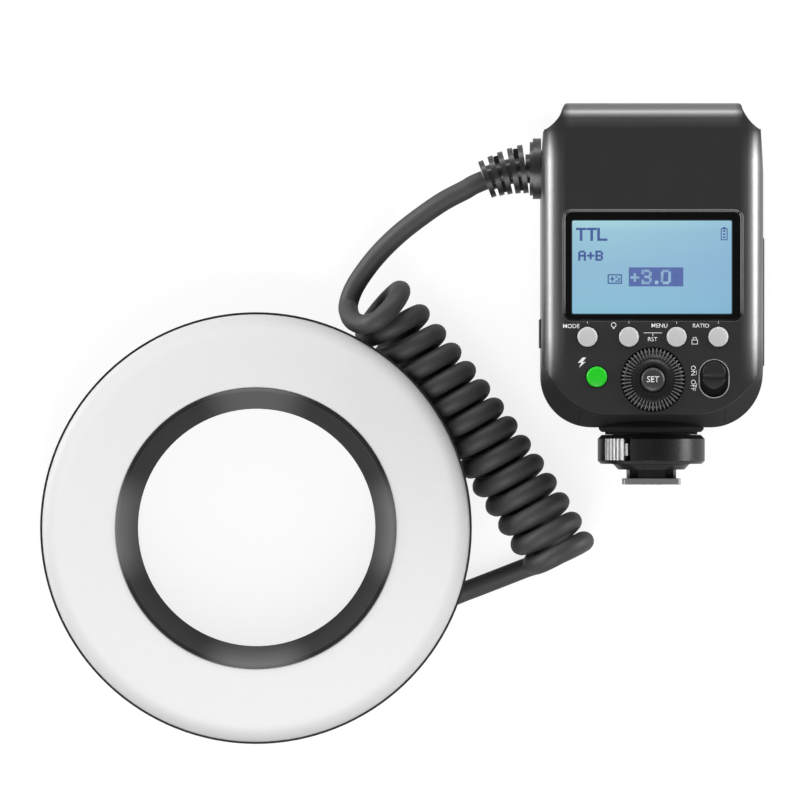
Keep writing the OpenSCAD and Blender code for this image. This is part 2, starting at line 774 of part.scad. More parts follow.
// Openings in the two sides, which both half shells share
module side_openings() {
    translate([0, gland_y, axis_z]) rod_x(gland_hole_r + seat_gap, -half_w - 5, -half_w + case_wall + 5);
    block([half_w - case_wall - 6, battery_y - battery_h / 2 - bay_gap, battery_z - battery_t / 2 - bay_gap],
        [half_w + 5, battery_y + battery_h / 2 + bay_gap, battery_z + battery_t / 2 + bay_gap]);
    block([-half_w - 5, port_y - port_h / 2 - key_gap, port_z - port_len / 2 - key_gap],
        [-half_w + port_depth, port_y + port_h / 2 + key_gap, port_z + port_len / 2 + key_gap]);
    translate([0, port_y, port_z + 5]) rod_x(2.9, -half_w - 5, -half_w + 6);
    block([-half_w - 5, port_y - 1.9, port_z - 8], [-half_w + 6, port_y + 1.9, port_z + 1]);
}

module rear_case() {
    color(body_colour)
    at_controller()
    difference() {
        union() {
            difference() {
                case_shell();
                block([-half_w - 5, -5, -1], [half_w + 5, case_h + 5, split_z]);
            }
            intersection() {
                case_form(0.8);
                for (p = boss_places) translate(p) rod_z(boss_r, split_z, case_t);
            }
            for (p = post_places) translate(p) rod_z(post_r, board_top + 0.05, inner_z + 0.1);
        }
        panel_room(seat_gap);
        side_openings();
        translate([0, display_y, case_t - window_depth])
            linear_extrude(5) centred_rect(window_w + 2 * seat_gap, window_h + 2 * seat_gap, window_corner_r);
        translate([0, display_y, inner_z - 1])
            linear_extrude(5) centred_rect(display_w + 2 * display_lip, display_h + 2 * display_lip, 1);
        for (x = button_x) translate([x, button_y]) rod_z(button_d / 2 + key_gap, inner_z - 1, case_t + 1);
        translate([test_x, test_y]) rod_z(test_d / 2 + key_gap, inner_z - 1, case_t + 1);
        translate([0, dial_y]) rod_z(dial_d / 2 + key_gap, inner_z - 1, case_t + 1);
        translate([0, dial_y]) rod_z(dial_d / 2 + dial_flange + 0.3, board_top, flange_top_z + 0.15);
        translate([switch_x, switch_y, case_t - switch_depth]) linear_extrude(5) pill(switch_w, switch_h);
        translate([switch_x, knob_y]) block([-1.3, -switch_travel - 1.3, inner_z - 1], [1.3, 1.3, case_t]);
        for (p = boss_places) translate(p) rod_z(screw_r + seat_gap, split_z - 1, case_screw_len + 0.5);
    }
}

module front_case() {
    color(body_colour)
    at_controller()
    difference() {
        union() {
            intersection() {
                case_shell();
                block([-half_w - 5, -5, -1], [half_w + 5, case_h + 5, split_z]);
            }
            intersection() {
                case_form(0.8);
                for (p = boss_places) translate(p) rod_z(boss_r, 0, split_z);
            }
        }
        panel_room(seat_gap);
        side_openings();
        for (p = boss_places) translate(p) {
            rod_z(screw_r + seat_gap, -1, split_z + 1);
            rod_z(screw_head_r + seat_gap, -1, 2.4);
        }
        translate([0, beam_y, -1]) linear_extrude(1 + 1.4)
            centred_rect(beam_w + 2 * seat_gap, beam_h + 2 * seat_gap, 3);
        translate([0, beam_y, -1]) linear_extrude(5)
            centred_rect(beam_w - 2 * beam_step + 2 * seat_gap, beam_h - 2 * beam_step + 2 * seat_gap, 2);
    }
}

// Red window for the focusing beam on the side that faces the subject
module front_window() {
    color("#5a0d10")
    at_controller() translate([0, beam_y, 0.3]) {
        linear_extrude(1.05) centred_rect(beam_w, beam_h, 2.9);
        translate([0, 0, 1]) linear_extrude(1) centred_rect(beam_w - 2 * beam_step, beam_h - 2 * beam_step, 1.9);
    }
}

// Bottom plate with the neck disc and the spindle of the shoe foot
module base_plate() {
    color(body_colour)
    at_controller()
    difference() {
        union() {
            intersection() {
                case_shell();
                panel_room(0);
            }
            translate([0, 0, axis_z]) {
                translate([0, neck_low, 0]) rotate([-90, 0, 0]) {
                    cylinder(r1 = neck_d / 2 - 0.9, r2 = neck_d / 2, h = 0.9);
                    translate([0, 0, 0.85]) cylinder(r = neck_d / 2, h = 0.75);
                    translate([0, 0, 1.55])
                        cylinder(r1 = neck_d / 2, r2 = neck_d / 2 - 3.4, h = panel_h - neck_low - 2);
                }
                rod_y(spindle_r + 2.4, collar_top + seat_gap, neck_low + 0.1);
                rod_y(spindle_r, cone_top, collar_top + seat_gap + 0.1);
            }
        }
        translate([0, 0, axis_z + pin_z]) rod_y(pin_d / 2 + run_gap, cone_top - 1, collar_top - 0.5);
    }
}

module display_window() {
    color("#101114")
    at_controller() translate([0, display_y, case_t - window_depth + 0.02])
        linear_extrude(window_depth) centred_rect(window_w, window_h, window_corner_r);
}

module lcd_module() {
    color("#8dbfdd")
    at_controller() translate([0, display_y, inner_z - 3.7])
        linear_extrude(3.65) centred_rect(display_w + 3, display_h + 3, 1);
}

// Round key: domed cap, flange under the wall and stem over its switch
module round_key(d, colour) {
    dome = 0.5;
    color(colour) {
        rod_z(d / 2, flange_top_z - 0.1, case_t + key_rise - dome);
        translate([0, 0, case_t + key_rise - dome]) cylinder(r1 = d / 2, r2 = d / 2 - dome, h = dome);
        rod_z(d / 2 + key_flange, flange_top_z - key_flange_t, flange_top_z);
        rod_z(1.6, stem_low, flange_top_z - key_flange_t + 0.1);
    }
}

module function_button(i) {
    at_controller() translate([button_x[i], button_y]) round_key(button_d, "#cfcfcf");
}

module test_button() {
    at_controller() translate([test_x, test_y]) round_key(test_d, "#27cc27");
}

// Select dial: ribbed rim around a smooth dish, with a hub that turns on the encoder
module select_dial() {
    r = dial_d / 2;
    rim_z = case_t + dial_rise;
    hub_r = encoder_r + run_gap;
    color("#232323")
    at_controller() translate([0, dial_y]) {
        rotate_extrude($fn = 96) polygon([[set_d / 2 + key_gap, case_t - 0.6], [dial_rib_in - 0.4, case_t - 0.4],
            [dial_rib_in, rim_z - 0.5], [r - 0.9, rim_z - 0.3], [r, rim_z - 1.2], [r, flange_top_z - 0.1],
            [r + dial_flange, flange_top_z - 0.1], [r + dial_flange, flange_top_z - key_flange_t],
            [hub_r + 1.4, flange_top_z - key_flange_t], [hub_r + 1.4, board_top + 3.2], [hub_r, board_top + 3.2],
            [hub_r, case_t - 2.4], [set_d / 2 + key_gap, case_t - 2.4]]);
        for (i = [0:dial_ribs - 1]) rotate(360 * i / dial_ribs)
            block([dial_rib_in + 0.1, -0.16, rim_z - 1], [r - 0.35, 0.16, rim_z]);
    }
}

module set_button() {
    top_z = case_t + set_rise;
    color("#2a2a2a")
    at_controller() translate([0, dial_y])
        rotate_extrude($fn = 64) polygon(concat([[0, stem_low], [2.4, stem_low], [2.4, case_t - 1.6],
            [set_d / 2, case_t - 1.6], [set_d / 2, top_z - 0.9]],
            curve([set_d / 2 - 0.1, top_z - 0.6], [set_d / 2 - 0.7, top_z], [0, top_z], 4)));
}

// Hollow encoder under the dial
module dial_encoder() {
    color("#3c3c3c")
    at_controller() translate([0, dial_y]) difference() {
        union() {
            rod_z(7.6, board_top, board_top + 2.4);
            rod_z(encoder_r, board_top, case_t - 2.6);
        }
        rod_z(encoder_bore_r, board_top - 1, case_t);
    }
}

// Power switch, shown at ON: it slides down to OFF
module power_switch() {
    low_z = case_t - switch_depth + 0.15;
    clip_z = inner_z - 0.2;
    color("#242424")
    at_controller() translate([switch_x, knob_y]) {
        difference() {
            translate([0, 0, low_z]) linear_extrude(case_t + 0.9 - low_z) pill(knob_w, knob_h);
            translate([0, -knob_h / 2, case_t + 0.9]) rotate([-18, 0, 0])
                block([-knob_w, -1, 0], [knob_w, knob_h / 2 - 0.4, 3]);
        }
        block([-1, -1, board_top + 4.6], [1, 1, low_z + 0.1]);
        block([-2.4, -2.2, clip_z - 1.2], [2.4, 2.2, clip_z]);
    }
}

module switch_body() {
    color("#3f3f42")
    at_controller() translate([switch_x, switch_y]) difference() {
        block([-3.4, -4.4, board_top], [2.2, 6, board_top + 5.6]);
        block([-1.25, -switch_travel / 2 - 1.25, board_top + 3.8], [1.25, switch_travel / 2 + 1.25, board_top + 7]);
    }
}

module tact_switches() {
    places = concat([for (x = button_x) [x, button_y]], [[test_x, test_y], [0, dial_y]]);
    color("#1c1c1c")
    at_controller() for (p = places) translate(p) {
        block([-2.2, -2.2, board_top], [2.2, 2.2, board_top + tact_h - 0.9]);
        rod_z(1.4, board_top + tact_h - 1, board_top + tact_h);
    }
}

module main_board() {
    color("#1f6b3a")
    at_controller() translate([0, 0, main_board_z]) linear_extrude(board_t) {
        block_2d([-board_half_w, board_low_y], [board_half_w, board_high_y]);
        block_2d([-board_tail_half_w, 13.5], [board_tail_half_w, board_low_y + 0.1]);
        translate([-16, 7.6]) square([32, 6]);
        translate([switch_x - 5, 8.5]) square([6.8, 6]);
    }
}

module capacitor() {
    color("#26324d")
    at_controller() translate([0, cap_y, case_wall + 0.2 + cap_r]) difference() {
        rod_x(cap_r, -cap_len / 2, cap_len / 2);
        rotate([0, 90, 0]) translate([0, 0, cap_len / 2 - 5]) rotate_extrude()
            translate([cap_r + 0.3, 0]) circle(r = 0.9, $fn = 24);
    }
}

module battery_pack() {
    x1 = half_w + battery_proud;
    color("#2a2a2b")
    at_controller() translate([0, battery_y, battery_z]) difference() {
        union() {
            translate([x1 - battery_len, 0, 0]) rotate([90, 0, 90]) linear_extrude(battery_len - 2)
                centred_rect(battery_h - 2 * panel_over, battery_t - 2 * panel_over, 2);
            translate([x1 - 2.6, 0, 0]) rotate([90, 0, 90]) linear_extrude(2)
                centred_rect(battery_h, battery_t, 2.2);
            translate([x1 - 0.7, 0, 0]) rotate([90, 0, 90]) linear_extrude(0.7)
                centred_rect(battery_h - 1.4, battery_t - 1.4, 1.6);
        }
        for (z = [-3:1.5:3]) translate([x1 + 0.25, 0, z]) rod_y(0.6, -battery_h / 2 + 4, battery_h / 2 - 4);
    }
}

module battery_bay() {
    room_h = battery_h + 2 * bay_gap;
    room_t = battery_t + 2 * bay_gap;
    color("#3a3a3a")
    at_controller() translate([0, battery_y, battery_z]) difference() {
        block([bay_back_x - bay_wall, -room_h / 2 - bay_wall, -room_t / 2 - bay_wall],
            [bay_end_x, room_h / 2 + bay_wall, room_t / 2 + bay_wall]);
        block([bay_back_x, -room_h / 2, -room_t / 2], [half_w + 5, room_h / 2, room_t / 2]);
    }
}

// Leaf contacts behind the battery, on the outside of the bay's end wall
module battery_contacts() {
    color("#d8b65a")
    at_controller() translate([bay_back_x - bay_wall, battery_y, battery_z])
        for (y = [-12, -4, 4, 12]) block([-1, y - 1.5, -5], [-0.02, y + 1.5, 5]);
}

// Rubber flap over the sync and data sockets, hinged at its front end
module port_cover() {
    z0 = port_z - port_len / 2;
    z1 = port_z + port_len / 2;
    hinge_x = -half_w + port_depth - hinge_r - seat_gap;
    color("#222222")
    at_controller() translate([0, port_y, 0]) {
        translate([hinge_x, 0, z0 + hinge_r]) rod_y(hinge_r, -port_h / 2, port_h / 2);
        difference() {
            block([-half_w + port_depth - seat_gap - port_t, -port_h / 2, z0 + hinge_r],
                [-half_w + port_depth - seat_gap, port_h / 2, z1]);
            translate([-half_w + port_depth - seat_gap - port_t, 0, z1 - 0.2]) rotate([0, 40, 0])
                block([-2, -2.5, -0.8], [1, 2.5, 0.8]);
        }
    }
}

module port_sockets() {
    x0 = -half_w + case_wall + 0.05;
    color("#4a4a4d")
    at_controller() translate([0, port_y, port_z]) {
        translate([0, 0, 5]) difference() {
            rod_x(3.6, x0, x0 + socket_len);
            rod_x(1.3, x0 - 1, x0 + socket_len - 0.8);
        }
        translate([0, 0, -3.5]) difference() {
            block([x0, -2.4, -4.9], [x0 + socket_len, 2.4, 4.9]);
            block([x0 - 1, -1.6, -4.3], [x0 + socket_len - 0.8, 1.6, 4.3]);
        }
    }
}

// Ring that locks the foot, with a window for the release tab
module lock_collar() {
    bore_r = spindle_r + run_gap;
    color("#222222")
    at_controller() translate([0, 0, axis_z]) difference() {
        rotate([-90, 0, 0]) rotate_extrude($fn = 96) polygon([[bore_r, collar_low], [collar_r - 1, collar_low],
            [collar_r, collar_low + 1], [collar_r, collar_top - 1.3], [collar_r - 1.3, collar_top],
            [bore_r, collar_top]]);
        tab_sector(window_from, window_to, bore_r - 1, collar_r + 1, tab_h + 2 * key_gap);
    }
}

// Part of a ring on the collar, between two angles from the display side towards -X
module tab_sector(from, to, r0, r1, h) {
    mid_y = (collar_low + collar_top) / 2;
    translate([0, mid_y - h / 2, 0]) rotate([-90, 0, 0]) rotate([0, 0, -90 - to])
        rotate_extrude(angle = to - from, $fn = 96) translate([r0, 0]) square([r1 - r0, h]);
}

// Ribbed metal tab that frees the collar
module release_tab() {
    color(metal_colour)
    at_controller() translate([0, 0, axis_z]) difference() {
        union() {
            tab_sector(tab_from, tab_to, spindle_r + tab_travel + 0.5, collar_r - 0.05, tab_h);
            tab_sector(tab_from - 4, tab_from + 1, spindle_r + tab_travel + 0.5, collar_r - 0.5, tab_h - 3);
        }
        for (i = [0:tab_ribs - 1]) let (a = mix(tab_from + 5, tab_to - 4, i / (tab_ribs - 1)))
            rotate([0, -a, 0]) translate([0, 0, collar_r]) rod_y(0.55, collar_low - 1, collar_top + 1);
    }
}

module lock_pin() {
    color(metal_colour)
    at_controller() translate([0, 0, axis_z + pin_z]) rod_y(pin_d / 2, plate_low + 0.1, collar_top - 0.7);
}

// Insulating block between collar and foot plate
module foot_block() {
    color("#1e1e1e")
    at_controller() translate([0, 0, axis_z]) difference() {
        union() {
            translate([0, cone_low, 0]) rotate([-90, 0, 0])
                cylinder(r1 = cone_small_r, r2 = cone_r, h = cone_top - cone_low);
            block([-4.3, plate_top, -7.5], [4.3, cone_low + 0.1, 8.2]);
            block([-rail_x + seat_gap, plate_top, -5.4], [rail_x - seat_gap, cone_low + 0.1, 5.4]);
            block([-insert_w / 2, plate_low, -insert_len / 2], [insert_w / 2, plate_top + 0.1, insert_len / 2]);
        }
        translate([0, 0, pin_z]) rod_y(pin_d / 2 + run_gap, plate_low - 1, cone_top + 1);
        for (p = contact_places) translate([p[0], 0, p[1]]) rod_y(0.8, plate_low - 1, plate_top + 1.5);
    }
}

contact_places = [[0, 0], [-2.6, -2.4], [2.6, -2.4], [-2.6, 2.4], [2.6, 2.4]];

// Steel shoe foot with its two upright rails
module foot_plate() {
    color("#8b8c8e")
    at_controller() translate([0, 0, axis_z]) difference() {
        union() {
            translate([0, plate_top, 0]) rotate([90, 0, 0]) linear_extrude(foot_t)
                centred_rect(foot_w, foot_len, 1.2);
            for (side = [0, 1]) mirror([side, 0, 0])
                block([rail_x, plate_top - 0.1, -6.4], [rail_x + rail_t, cone_low, 6.4]);
        }
        block([-insert_w / 2 - seat_gap, plate_low - 1, -insert_len / 2 - seat_gap],
            [insert_w / 2 + seat_gap, plate_top + 0.5, insert_len / 2 + seat_gap]);
        translate([0, 0, pin_z]) rod_y(pin_d / 2 + run_gap, plate_low - 1, plate_top + 1);
    }
}

module foot_contacts() {
    color("#d8b65a")
    at_controller() translate([0, 0, axis_z])
        for (p = contact_places) translate([p[0], 0, p[1]]) rod_y(0.8 - 0.02, plate_low - 0.1, plate_top + 1.45);
}

module case_screws() {
    color(metal_colour)
    at_controller() for (p = boss_places) translate(p) {
        difference() {
            rod_z(screw_head_r, 0.6, 2.35);
            for (turn = [0, 90]) rotate(turn) block([-1.3, -0.3, -1], [1.3, 0.3, 1.4]);
        }
        rod_z(screw_r, 2.3, case_screw_len);
    }
}

ring_rear_housing();
ring_bezel();
ring_diffuser();
reflector_upper();
reflector_lower();
flash_tube_upper();
flash_tube_lower();
ring_board();
modelling_leds();
release_latch_upper();
release_latch_lower();
ring_screws();
ring_gland();
cord_lead_ring();
cord_coil();
cord_lead_controller();
cable_gland();
rear_case();
front_case();
base_plate();
front_window();
display_window();
lcd_module();
function_button(0);  // function_button_1
function_button(1);  // function_button_2
function_button(2);  // function_button_3
function_button(3);  // function_button_4
test_button();
select_dial();
set_button();
dial_encoder();
power_switch();
switch_body();
tact_switches();
main_board();
capacitor();
battery_pack();
battery_bay();
battery_contacts();
port_cover();
port_sockets();
lock_collar();
release_tab();
lock_pin();
foot_block();
foot_plate();
foot_contacts();
case_screws();
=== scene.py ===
"""Looks of a macro ring flash: opal ring head, curly cord and shoe-mounted controller, laid flat on white."""
import json
import math
import bmesh
import bpy
import numpy as np
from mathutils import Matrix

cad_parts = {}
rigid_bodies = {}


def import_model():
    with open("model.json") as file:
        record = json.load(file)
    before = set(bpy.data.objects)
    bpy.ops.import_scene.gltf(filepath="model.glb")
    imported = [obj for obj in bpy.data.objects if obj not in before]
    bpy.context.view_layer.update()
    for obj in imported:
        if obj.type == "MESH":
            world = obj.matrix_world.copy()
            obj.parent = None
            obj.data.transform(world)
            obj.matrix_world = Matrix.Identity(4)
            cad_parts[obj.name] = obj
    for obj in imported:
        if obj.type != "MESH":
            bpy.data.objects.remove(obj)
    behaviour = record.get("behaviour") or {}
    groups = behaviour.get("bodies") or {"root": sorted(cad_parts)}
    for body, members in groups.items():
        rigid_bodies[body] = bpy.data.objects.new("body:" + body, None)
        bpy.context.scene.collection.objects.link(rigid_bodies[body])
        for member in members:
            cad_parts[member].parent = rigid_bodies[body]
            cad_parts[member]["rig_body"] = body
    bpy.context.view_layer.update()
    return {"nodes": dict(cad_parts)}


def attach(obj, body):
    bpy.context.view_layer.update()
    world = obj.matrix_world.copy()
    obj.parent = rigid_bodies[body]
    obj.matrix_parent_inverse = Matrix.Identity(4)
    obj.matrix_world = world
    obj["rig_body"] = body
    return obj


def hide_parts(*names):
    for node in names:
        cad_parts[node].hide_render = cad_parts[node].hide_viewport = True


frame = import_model()
NODES = frame["nodes"]
MM = 0.001
# The controller's own frame: middle of the case's bottom edge, half its width, the height of the face that carries
# the display, and the height of the strain relief's axis
CTRL = np.array([127.6, 32.5])
HALF_CASE = 35.6
FACE = 54.0
AXIS_Z = 27.0


# Camera: straight above through a long lens; the picture's width is taken 40 mm above the table
PICTURE_WIDE, PICTURE_PLANE, CAMERA_AWAY, SENSOR_MM = 0.2574, 0.04, 4.0, 36
camera = bpy.data.objects.new("camera", bpy.data.cameras.new("camera"))
bpy.context.scene.collection.objects.link(camera)
camera.location = (0.0465, 0.04135, PICTURE_PLANE + CAMERA_AWAY)
camera.data.sensor_width = SENSOR_MM
camera.data.lens = SENSOR_MM * CAMERA_AWAY / PICTURE_WIDE
camera.data.clip_end = 50
bpy.context.scene.camera = camera


# Shapes

def unit(v):
    """Vectors along the last axis, brought to length one."""
    return v / np.linalg.norm(v, axis=-1, keepdims=True)


def piece(name, verts, faces, finish, body, stands_for=(), sharp=35):
    """A mesh in millimetres becomes a named piece that rides on a body, with edges over an angle kept sharp."""
    mesh = bpy.data.meshes.new(name)
    mesh.from_pydata(np.asarray(verts, float) * MM, [], faces)
    tidy = bmesh.new()
    tidy.from_mesh(mesh)
    bmesh.ops.remove_doubles(tidy, verts=tidy.verts, dist=1e-7)
    bmesh.ops.recalc_face_normals(tidy, faces=tidy.faces)
    tidy.to_mesh(mesh)
    tidy.free()
    mesh.shade_smooth()
    mesh.set_sharp_from_angle(angle=math.radians(sharp))
    mesh.materials.append(finish)
    made = bpy.data.objects.new(name, mesh)
    bpy.context.scene.collection.objects.link(made)
    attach(made, body)
    if stands_for:
        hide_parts(*stands_for)
    return made


def grid_faces(rows, cols, close_rows, close_cols):
    """Quads of a grid of rows by columns, closed round either way where asked."""
    r = np.arange(rows if close_rows else rows - 1)
    c = np.arange(cols if close_cols else cols - 1)
    i, j = np.meshgrid(r, c, indexing="ij")
    i2, j2 = (i + 1) % rows, (j + 1) % cols
    quads = np.stack([i * cols + j, i * cols + j2, i2 * cols + j2, i2 * cols + j], -1)
    return quads.reshape(-1, 4).tolist()


def softened(points, radius, steps=5):
    """A closed profile with each corner replaced by a quadratic arc that starts and ends radius away from it."""
    p = np.asarray(points, float)
    radius = np.broadcast_to(np.asarray(radius, float), len(p))
    before, after = np.roll(p, 1, 0) - p, np.roll(p, -1, 0) - p
    reach = np.minimum(radius, 0.49 * np.minimum(np.linalg.norm(before, axis=1), np.linalg.norm(after, axis=1)))
    a, b = p + unit(before) * reach[:, None], p + unit(after) * reach[:, None]
    t = np.linspace(0, 1, steps)[None, :, None]
    arcs = (1 - t) ** 2 * a[:, None] + 2 * t * (1 - t) * p[:, None] + t ** 2 * b[:, None]
    return arcs.reshape(-1, 2)


def turned(profile, segments, centre=(0, 0), open_profile=False):
    """A profile of radius and height turned round an upright axis: points and quads."""
    profile = np.asarray(profile, float)
    a = np.linspace(0, 2 * np.pi, segments, endpoint=False)
    r, h = profile[:, 0:1], profile[:, 1:2]
    verts = np.stack([r * np.cos(a), r * np.sin(a), h + 0 * a], -1).reshape(-1, 3)
    return verts + [centre[0], centre[1], 0], grid_faces(len(profile), segments, not open_profile, True)


def round_rect(w, h, r, centre=(0, 0), steps=10):
    """Outline of a rectangle with round corners, anticlockwise."""
    a = np.linspace(0, np.pi / 2, steps)
    corner = np.stack([np.cos(a), np.sin(a)], -1) * r
    turn = np.array([[[1, 0], [0, 1]], [[0, -1], [1, 0]], [[-1, 0], [0, -1]], [[0, 1], [-1, 0]]], float)
    middle = np.array([[w / 2 - r, h / 2 - r], [r - w / 2, h / 2 - r], [r - w / 2, r - h / 2], [w / 2 - r, r - h / 2]])
    return (np.einsum("kij,nj->kni", turn, corner) + middle[:, None]).reshape(-1, 2) + np.asarray(centre)


def stacked(outlines, heights, closed=False):
    """Outlines laid over each other at given heights: walls between them, and lids unless it closes on itself."""
    outlines = [np.asarray(o, float) for o in outlines]
    n = len(outlines[0])
    verts = np.concatenate([np.column_stack([o, np.full(n, float(z))]) for o, z in zip(outlines, heights)])
    faces = grid_faces(len(outlines), n, closed, True)
    if not closed:
        faces += [list(range(n))[::-1], list(range((len(outlines) - 1) * n, len(outlines) * n))]
    return verts, faces


def dressed(node, finish, edge, sharp=32):
    """A copy of a CAD solid with its triangles joined to faces, its curves shaded smooth and its edges broken."""
    source = NODES[node]
    mesh = source.data.copy()
    tidy = bmesh.new()
    tidy.from_mesh(mesh)
    bmesh.ops.remove_doubles(tidy, verts=tidy.verts, dist=2e-6)
    bmesh.ops.dissolve_limit(tidy, angle_limit=math.radians(0.6), verts=tidy.verts, edges=tidy.edges)
    tidy.to_mesh(mesh)
    tidy.free()
    mesh.shade_smooth()
    mesh.set_sharp_from_angle(angle=math.radians(sharp))
    mesh.materials.clear()
    mesh.materials.append(finish)
    made = bpy.data.objects.new(node + "_dressed", mesh)
    bpy.context.scene.collection.objects.link(made)
    broken = made.modifiers.new("edge", "BEVEL")
    broken.width, broken.segments, broken.limit_method = edge * MM, 2, "ANGLE"
    broken.angle_limit = math.radians(sharp)
    broken.use_clamp_overlap = True
    # Large faces lead the shading, so that flats stay flat next to the curves they run into
    even = made.modifiers.new("even", "WEIGHTED_NORMAL")
    even.mode, even.weight, even.keep_sharp = "FACE_AREA", 100, True
    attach(made, source["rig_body"])
    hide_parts(node)
    return made


# Materials

def linear(code):
    """sRGB hex to linear colour."""
    c = np.array([int(code[i:i + 2], 16) for i in (1, 3, 5)]) / 255
    return tuple(np.where(c <= 0.04045, c / 12.92, ((c + 0.055) / 1.055) ** 2.4)) + (1.0,)


def add(tree, kind, links=None, **settings):
    """Adds a node, sets its properties, and fills its inputs with values or links."""
    made = tree.nodes.new(kind)
    for key, value in settings.items():
        setattr(made, key, value)
    for key, value in (links or {}).items():
        if isinstance(value, bpy.types.NodeSocket):
            tree.links.new(value, made.inputs[key])
        else:
            made.inputs[key].default_value = value
    return made


def start(name):
    """An empty material with its tree, shader and Object coordinates."""
    made = bpy.data.materials.new(name)
    made.use_nodes = True
    tree = made.node_tree
    shader = next(n for n in tree.nodes if n.type == "BSDF_PRINCIPLED")
    place = add(tree, "ShaderNodeTexCoord").outputs["Object"]
    return made, tree, shader, place


def per_metre(size_mm):
    """Texture scale for features of a size in millimetres."""
    return 1000.0 / size_mm


def between(tree, value, low, high):
    """Mask of a place in the object: nought at low and one at high, both in millimetres."""
    mask = add(tree, "ShaderNodeMapRange", {"Value": value, "From Min": low * MM, "From Max": high * MM})
    return mask.outputs["Result"]


def times(tree, one, other):
    """Product of two values."""
    return add(tree, "ShaderNodeMath", {0: one, 1: other}, operation="MULTIPLY").outputs["Value"]


# Size of the faint blotches of shade in moulded plastic
BLOTCH_MM = 9.0


def plain_finish(name, shade, other, rough, grain_mm, grain_bump, metal=0.0, rough_span=0.08, shine=0.5):
    """A surface with a fine grain in its relief and roughness, and a faint wide change of shade between two colours."""
    made, tree, shader, place = start(name)
    wide = add(tree, "ShaderNodeTexNoise", {"Vector": place, "Scale": per_metre(BLOTCH_MM), "Detail": 3.0})
    fine = add(tree, "ShaderNodeTexNoise", {"Vector": place, "Scale": per_metre(grain_mm), "Detail": 2.0})
    tone = add(tree, "ShaderNodeMix", {"Factor": wide.outputs["Fac"], "A": linear(shade), "B": linear(other)},
               data_type="RGBA")
    gloss = add(tree, "ShaderNodeMapRange", {"Value": fine.outputs["Fac"], "To Min": rough - rough_span,
                                             "To Max": rough + rough_span})
    relief = add(tree, "ShaderNodeBump", {"Height": fine.outputs["Fac"], "Strength": 1.0,
                                          "Distance": grain_bump * MM})
    tree.links.new(tone.outputs["Result"], shader.inputs["Base Color"])
    tree.links.new(gloss.outputs["Result"], shader.inputs["Roughness"])
    tree.links.new(relief.outputs["Normal"], shader.inputs["Normal"])
    shader.inputs["Metallic"].default_value = metal
    shader.inputs["Specular IOR Level"].default_value = shine
    return made


# Smooth moulded ABS of the ring's back, its latches, the battery's end panel and the switch knob
smooth_abs = plain_finish("smooth_black_abs", "#232324", "#1f1f20", 0.33, 0.8, 0.003)
# The same plastic, a little paler, on the cap in the dial
cap_abs = plain_finish("cap_black_abs", "#373738", "#323233", 0.36, 0.8, 0.003)
# Glass-filled nylon of the lock collar and the foot block: darker, with a soft shine
collar_nylon = plain_finish("collar_black_nylon", "#131314", "#101011", 0.3, 0.9, 0.003)
# Moulded soft PVC of the strain reliefs
gland_pvc = plain_finish("gland_soft_pvc", "#282828", "#232323", 0.34, 0.7, 0.004, shine=0.7)
# Light grey keys, moulded in colour with a fine satin skin
key_grey = plain_finish("key_light_grey_abs", "#bebebe", "#b9b9b9", 0.42, 0.35, 0.003)
# Green key, moulded in colour
key_green = plain_finish("key_green_abs", "#12c412", "#0fbc0f", 0.42, 0.35, 0.003)
# Stamped steel of the shoe foot, tumbled after stamping
foot_steel = plain_finish("foot_tumbled_steel", "#929395", "#858688", 0.44, 0.6, 0.004, metal=1.0)
# Satin nickel of the release tab and the pin
tab_nickel = plain_finish("tab_satin_nickel", "#bababa", "#b0b0b0", 0.5, 0.5, 0.0001, metal=1.0, rough_span=0.02)
# Zinc-plated screws
screw_zinc = plain_finish("screw_zinc_plate", "#b8b9bb", "#a4a6a8", 0.35, 0.6, 0.004, metal=1.0)
# Gold-plated contacts
contact_gold = plain_finish("contact_gold_plate", "#d9b451", "#cda645", 0.25, 0.6, 0.002, metal=1.0)
# Rolled aluminium of the reflectors
reflector_sheet = plain_finish("reflector_rolled_aluminium", "#dcddde", "#d0d1d2", 0.22, 1.2, 0.004, metal=1.0)
# Green solder mask over fibreglass
board_mask = plain_finish("board_solder_mask", "#1d6b3b", "#185c32", 0.35, 2.2, 0.01)
# Phosphor of the focusing lamps
led_phosphor = plain_finish("led_phosphor", "#f0e2a0", "#ead98c", 0.4, 0.8, 0.004)
# Plain black housings of switches, encoder and battery bay
inner_plastic = plain_finish("inner_black_plastic", "#343436", "#2e2e30", 0.48, 0.8, 0.006)
# Shrink sleeve of the capacitor
capacitor_sleeve = plain_finish("capacitor_shrink_sleeve", "#26324d", "#202b44", 0.3, 1.6, 0.006)
# Rubber of the port flap
port_rubber = plain_finish("port_flap_rubber", "#232323", "#1e1e1e", 0.6, 0.6, 0.01)
# Nickel shells of the sockets
socket_nickel = plain_finish("socket_nickel_shell", "#8b8c8f", "#7e7f82", 0.34, 0.8, 0.004, metal=1.0)
# Deep red acrylic over the focusing beam
red_acrylic = plain_finish("red_filter_acrylic", "#4d0c10", "#43090d", 0.12, 3.0, 0.002)
# Quartz of the flash tubes
tube_quartz = plain_finish("flash_tube_quartz", "#dfe8ec", "#d3dee4", 0.08, 3.0, 0.001)
# High-gloss black frame of the display window
window_gloss = plain_finish("window_gloss_black", "#0b0b0c", "#09090a", 0.1, 3.0, 0.001, rough_span=0.03)
# Polished moulded edge round the window and on the switch knob, painted paler than the case as a highlight where it
# catches the light
edge_painted_highlight = plain_finish("painted_highlight_edge", "#3e3e3f", "#373738", 0.22, 1.0, 0.001, rough_span=0.04)
# Polished edge of the switch recess, painted bright grey as a highlight
rim_painted_highlight = plain_finish("switch_rim_painted_highlight", "#9a9a9b", "#8d8d8e", 0.2, 1.0, 0.001, rough_span=0.04)
# White silk-screen ink
print_ink = plain_finish("white_screen_print", "#e6e6e6", "#dddddd", 0.55, 0.4, 0.003)


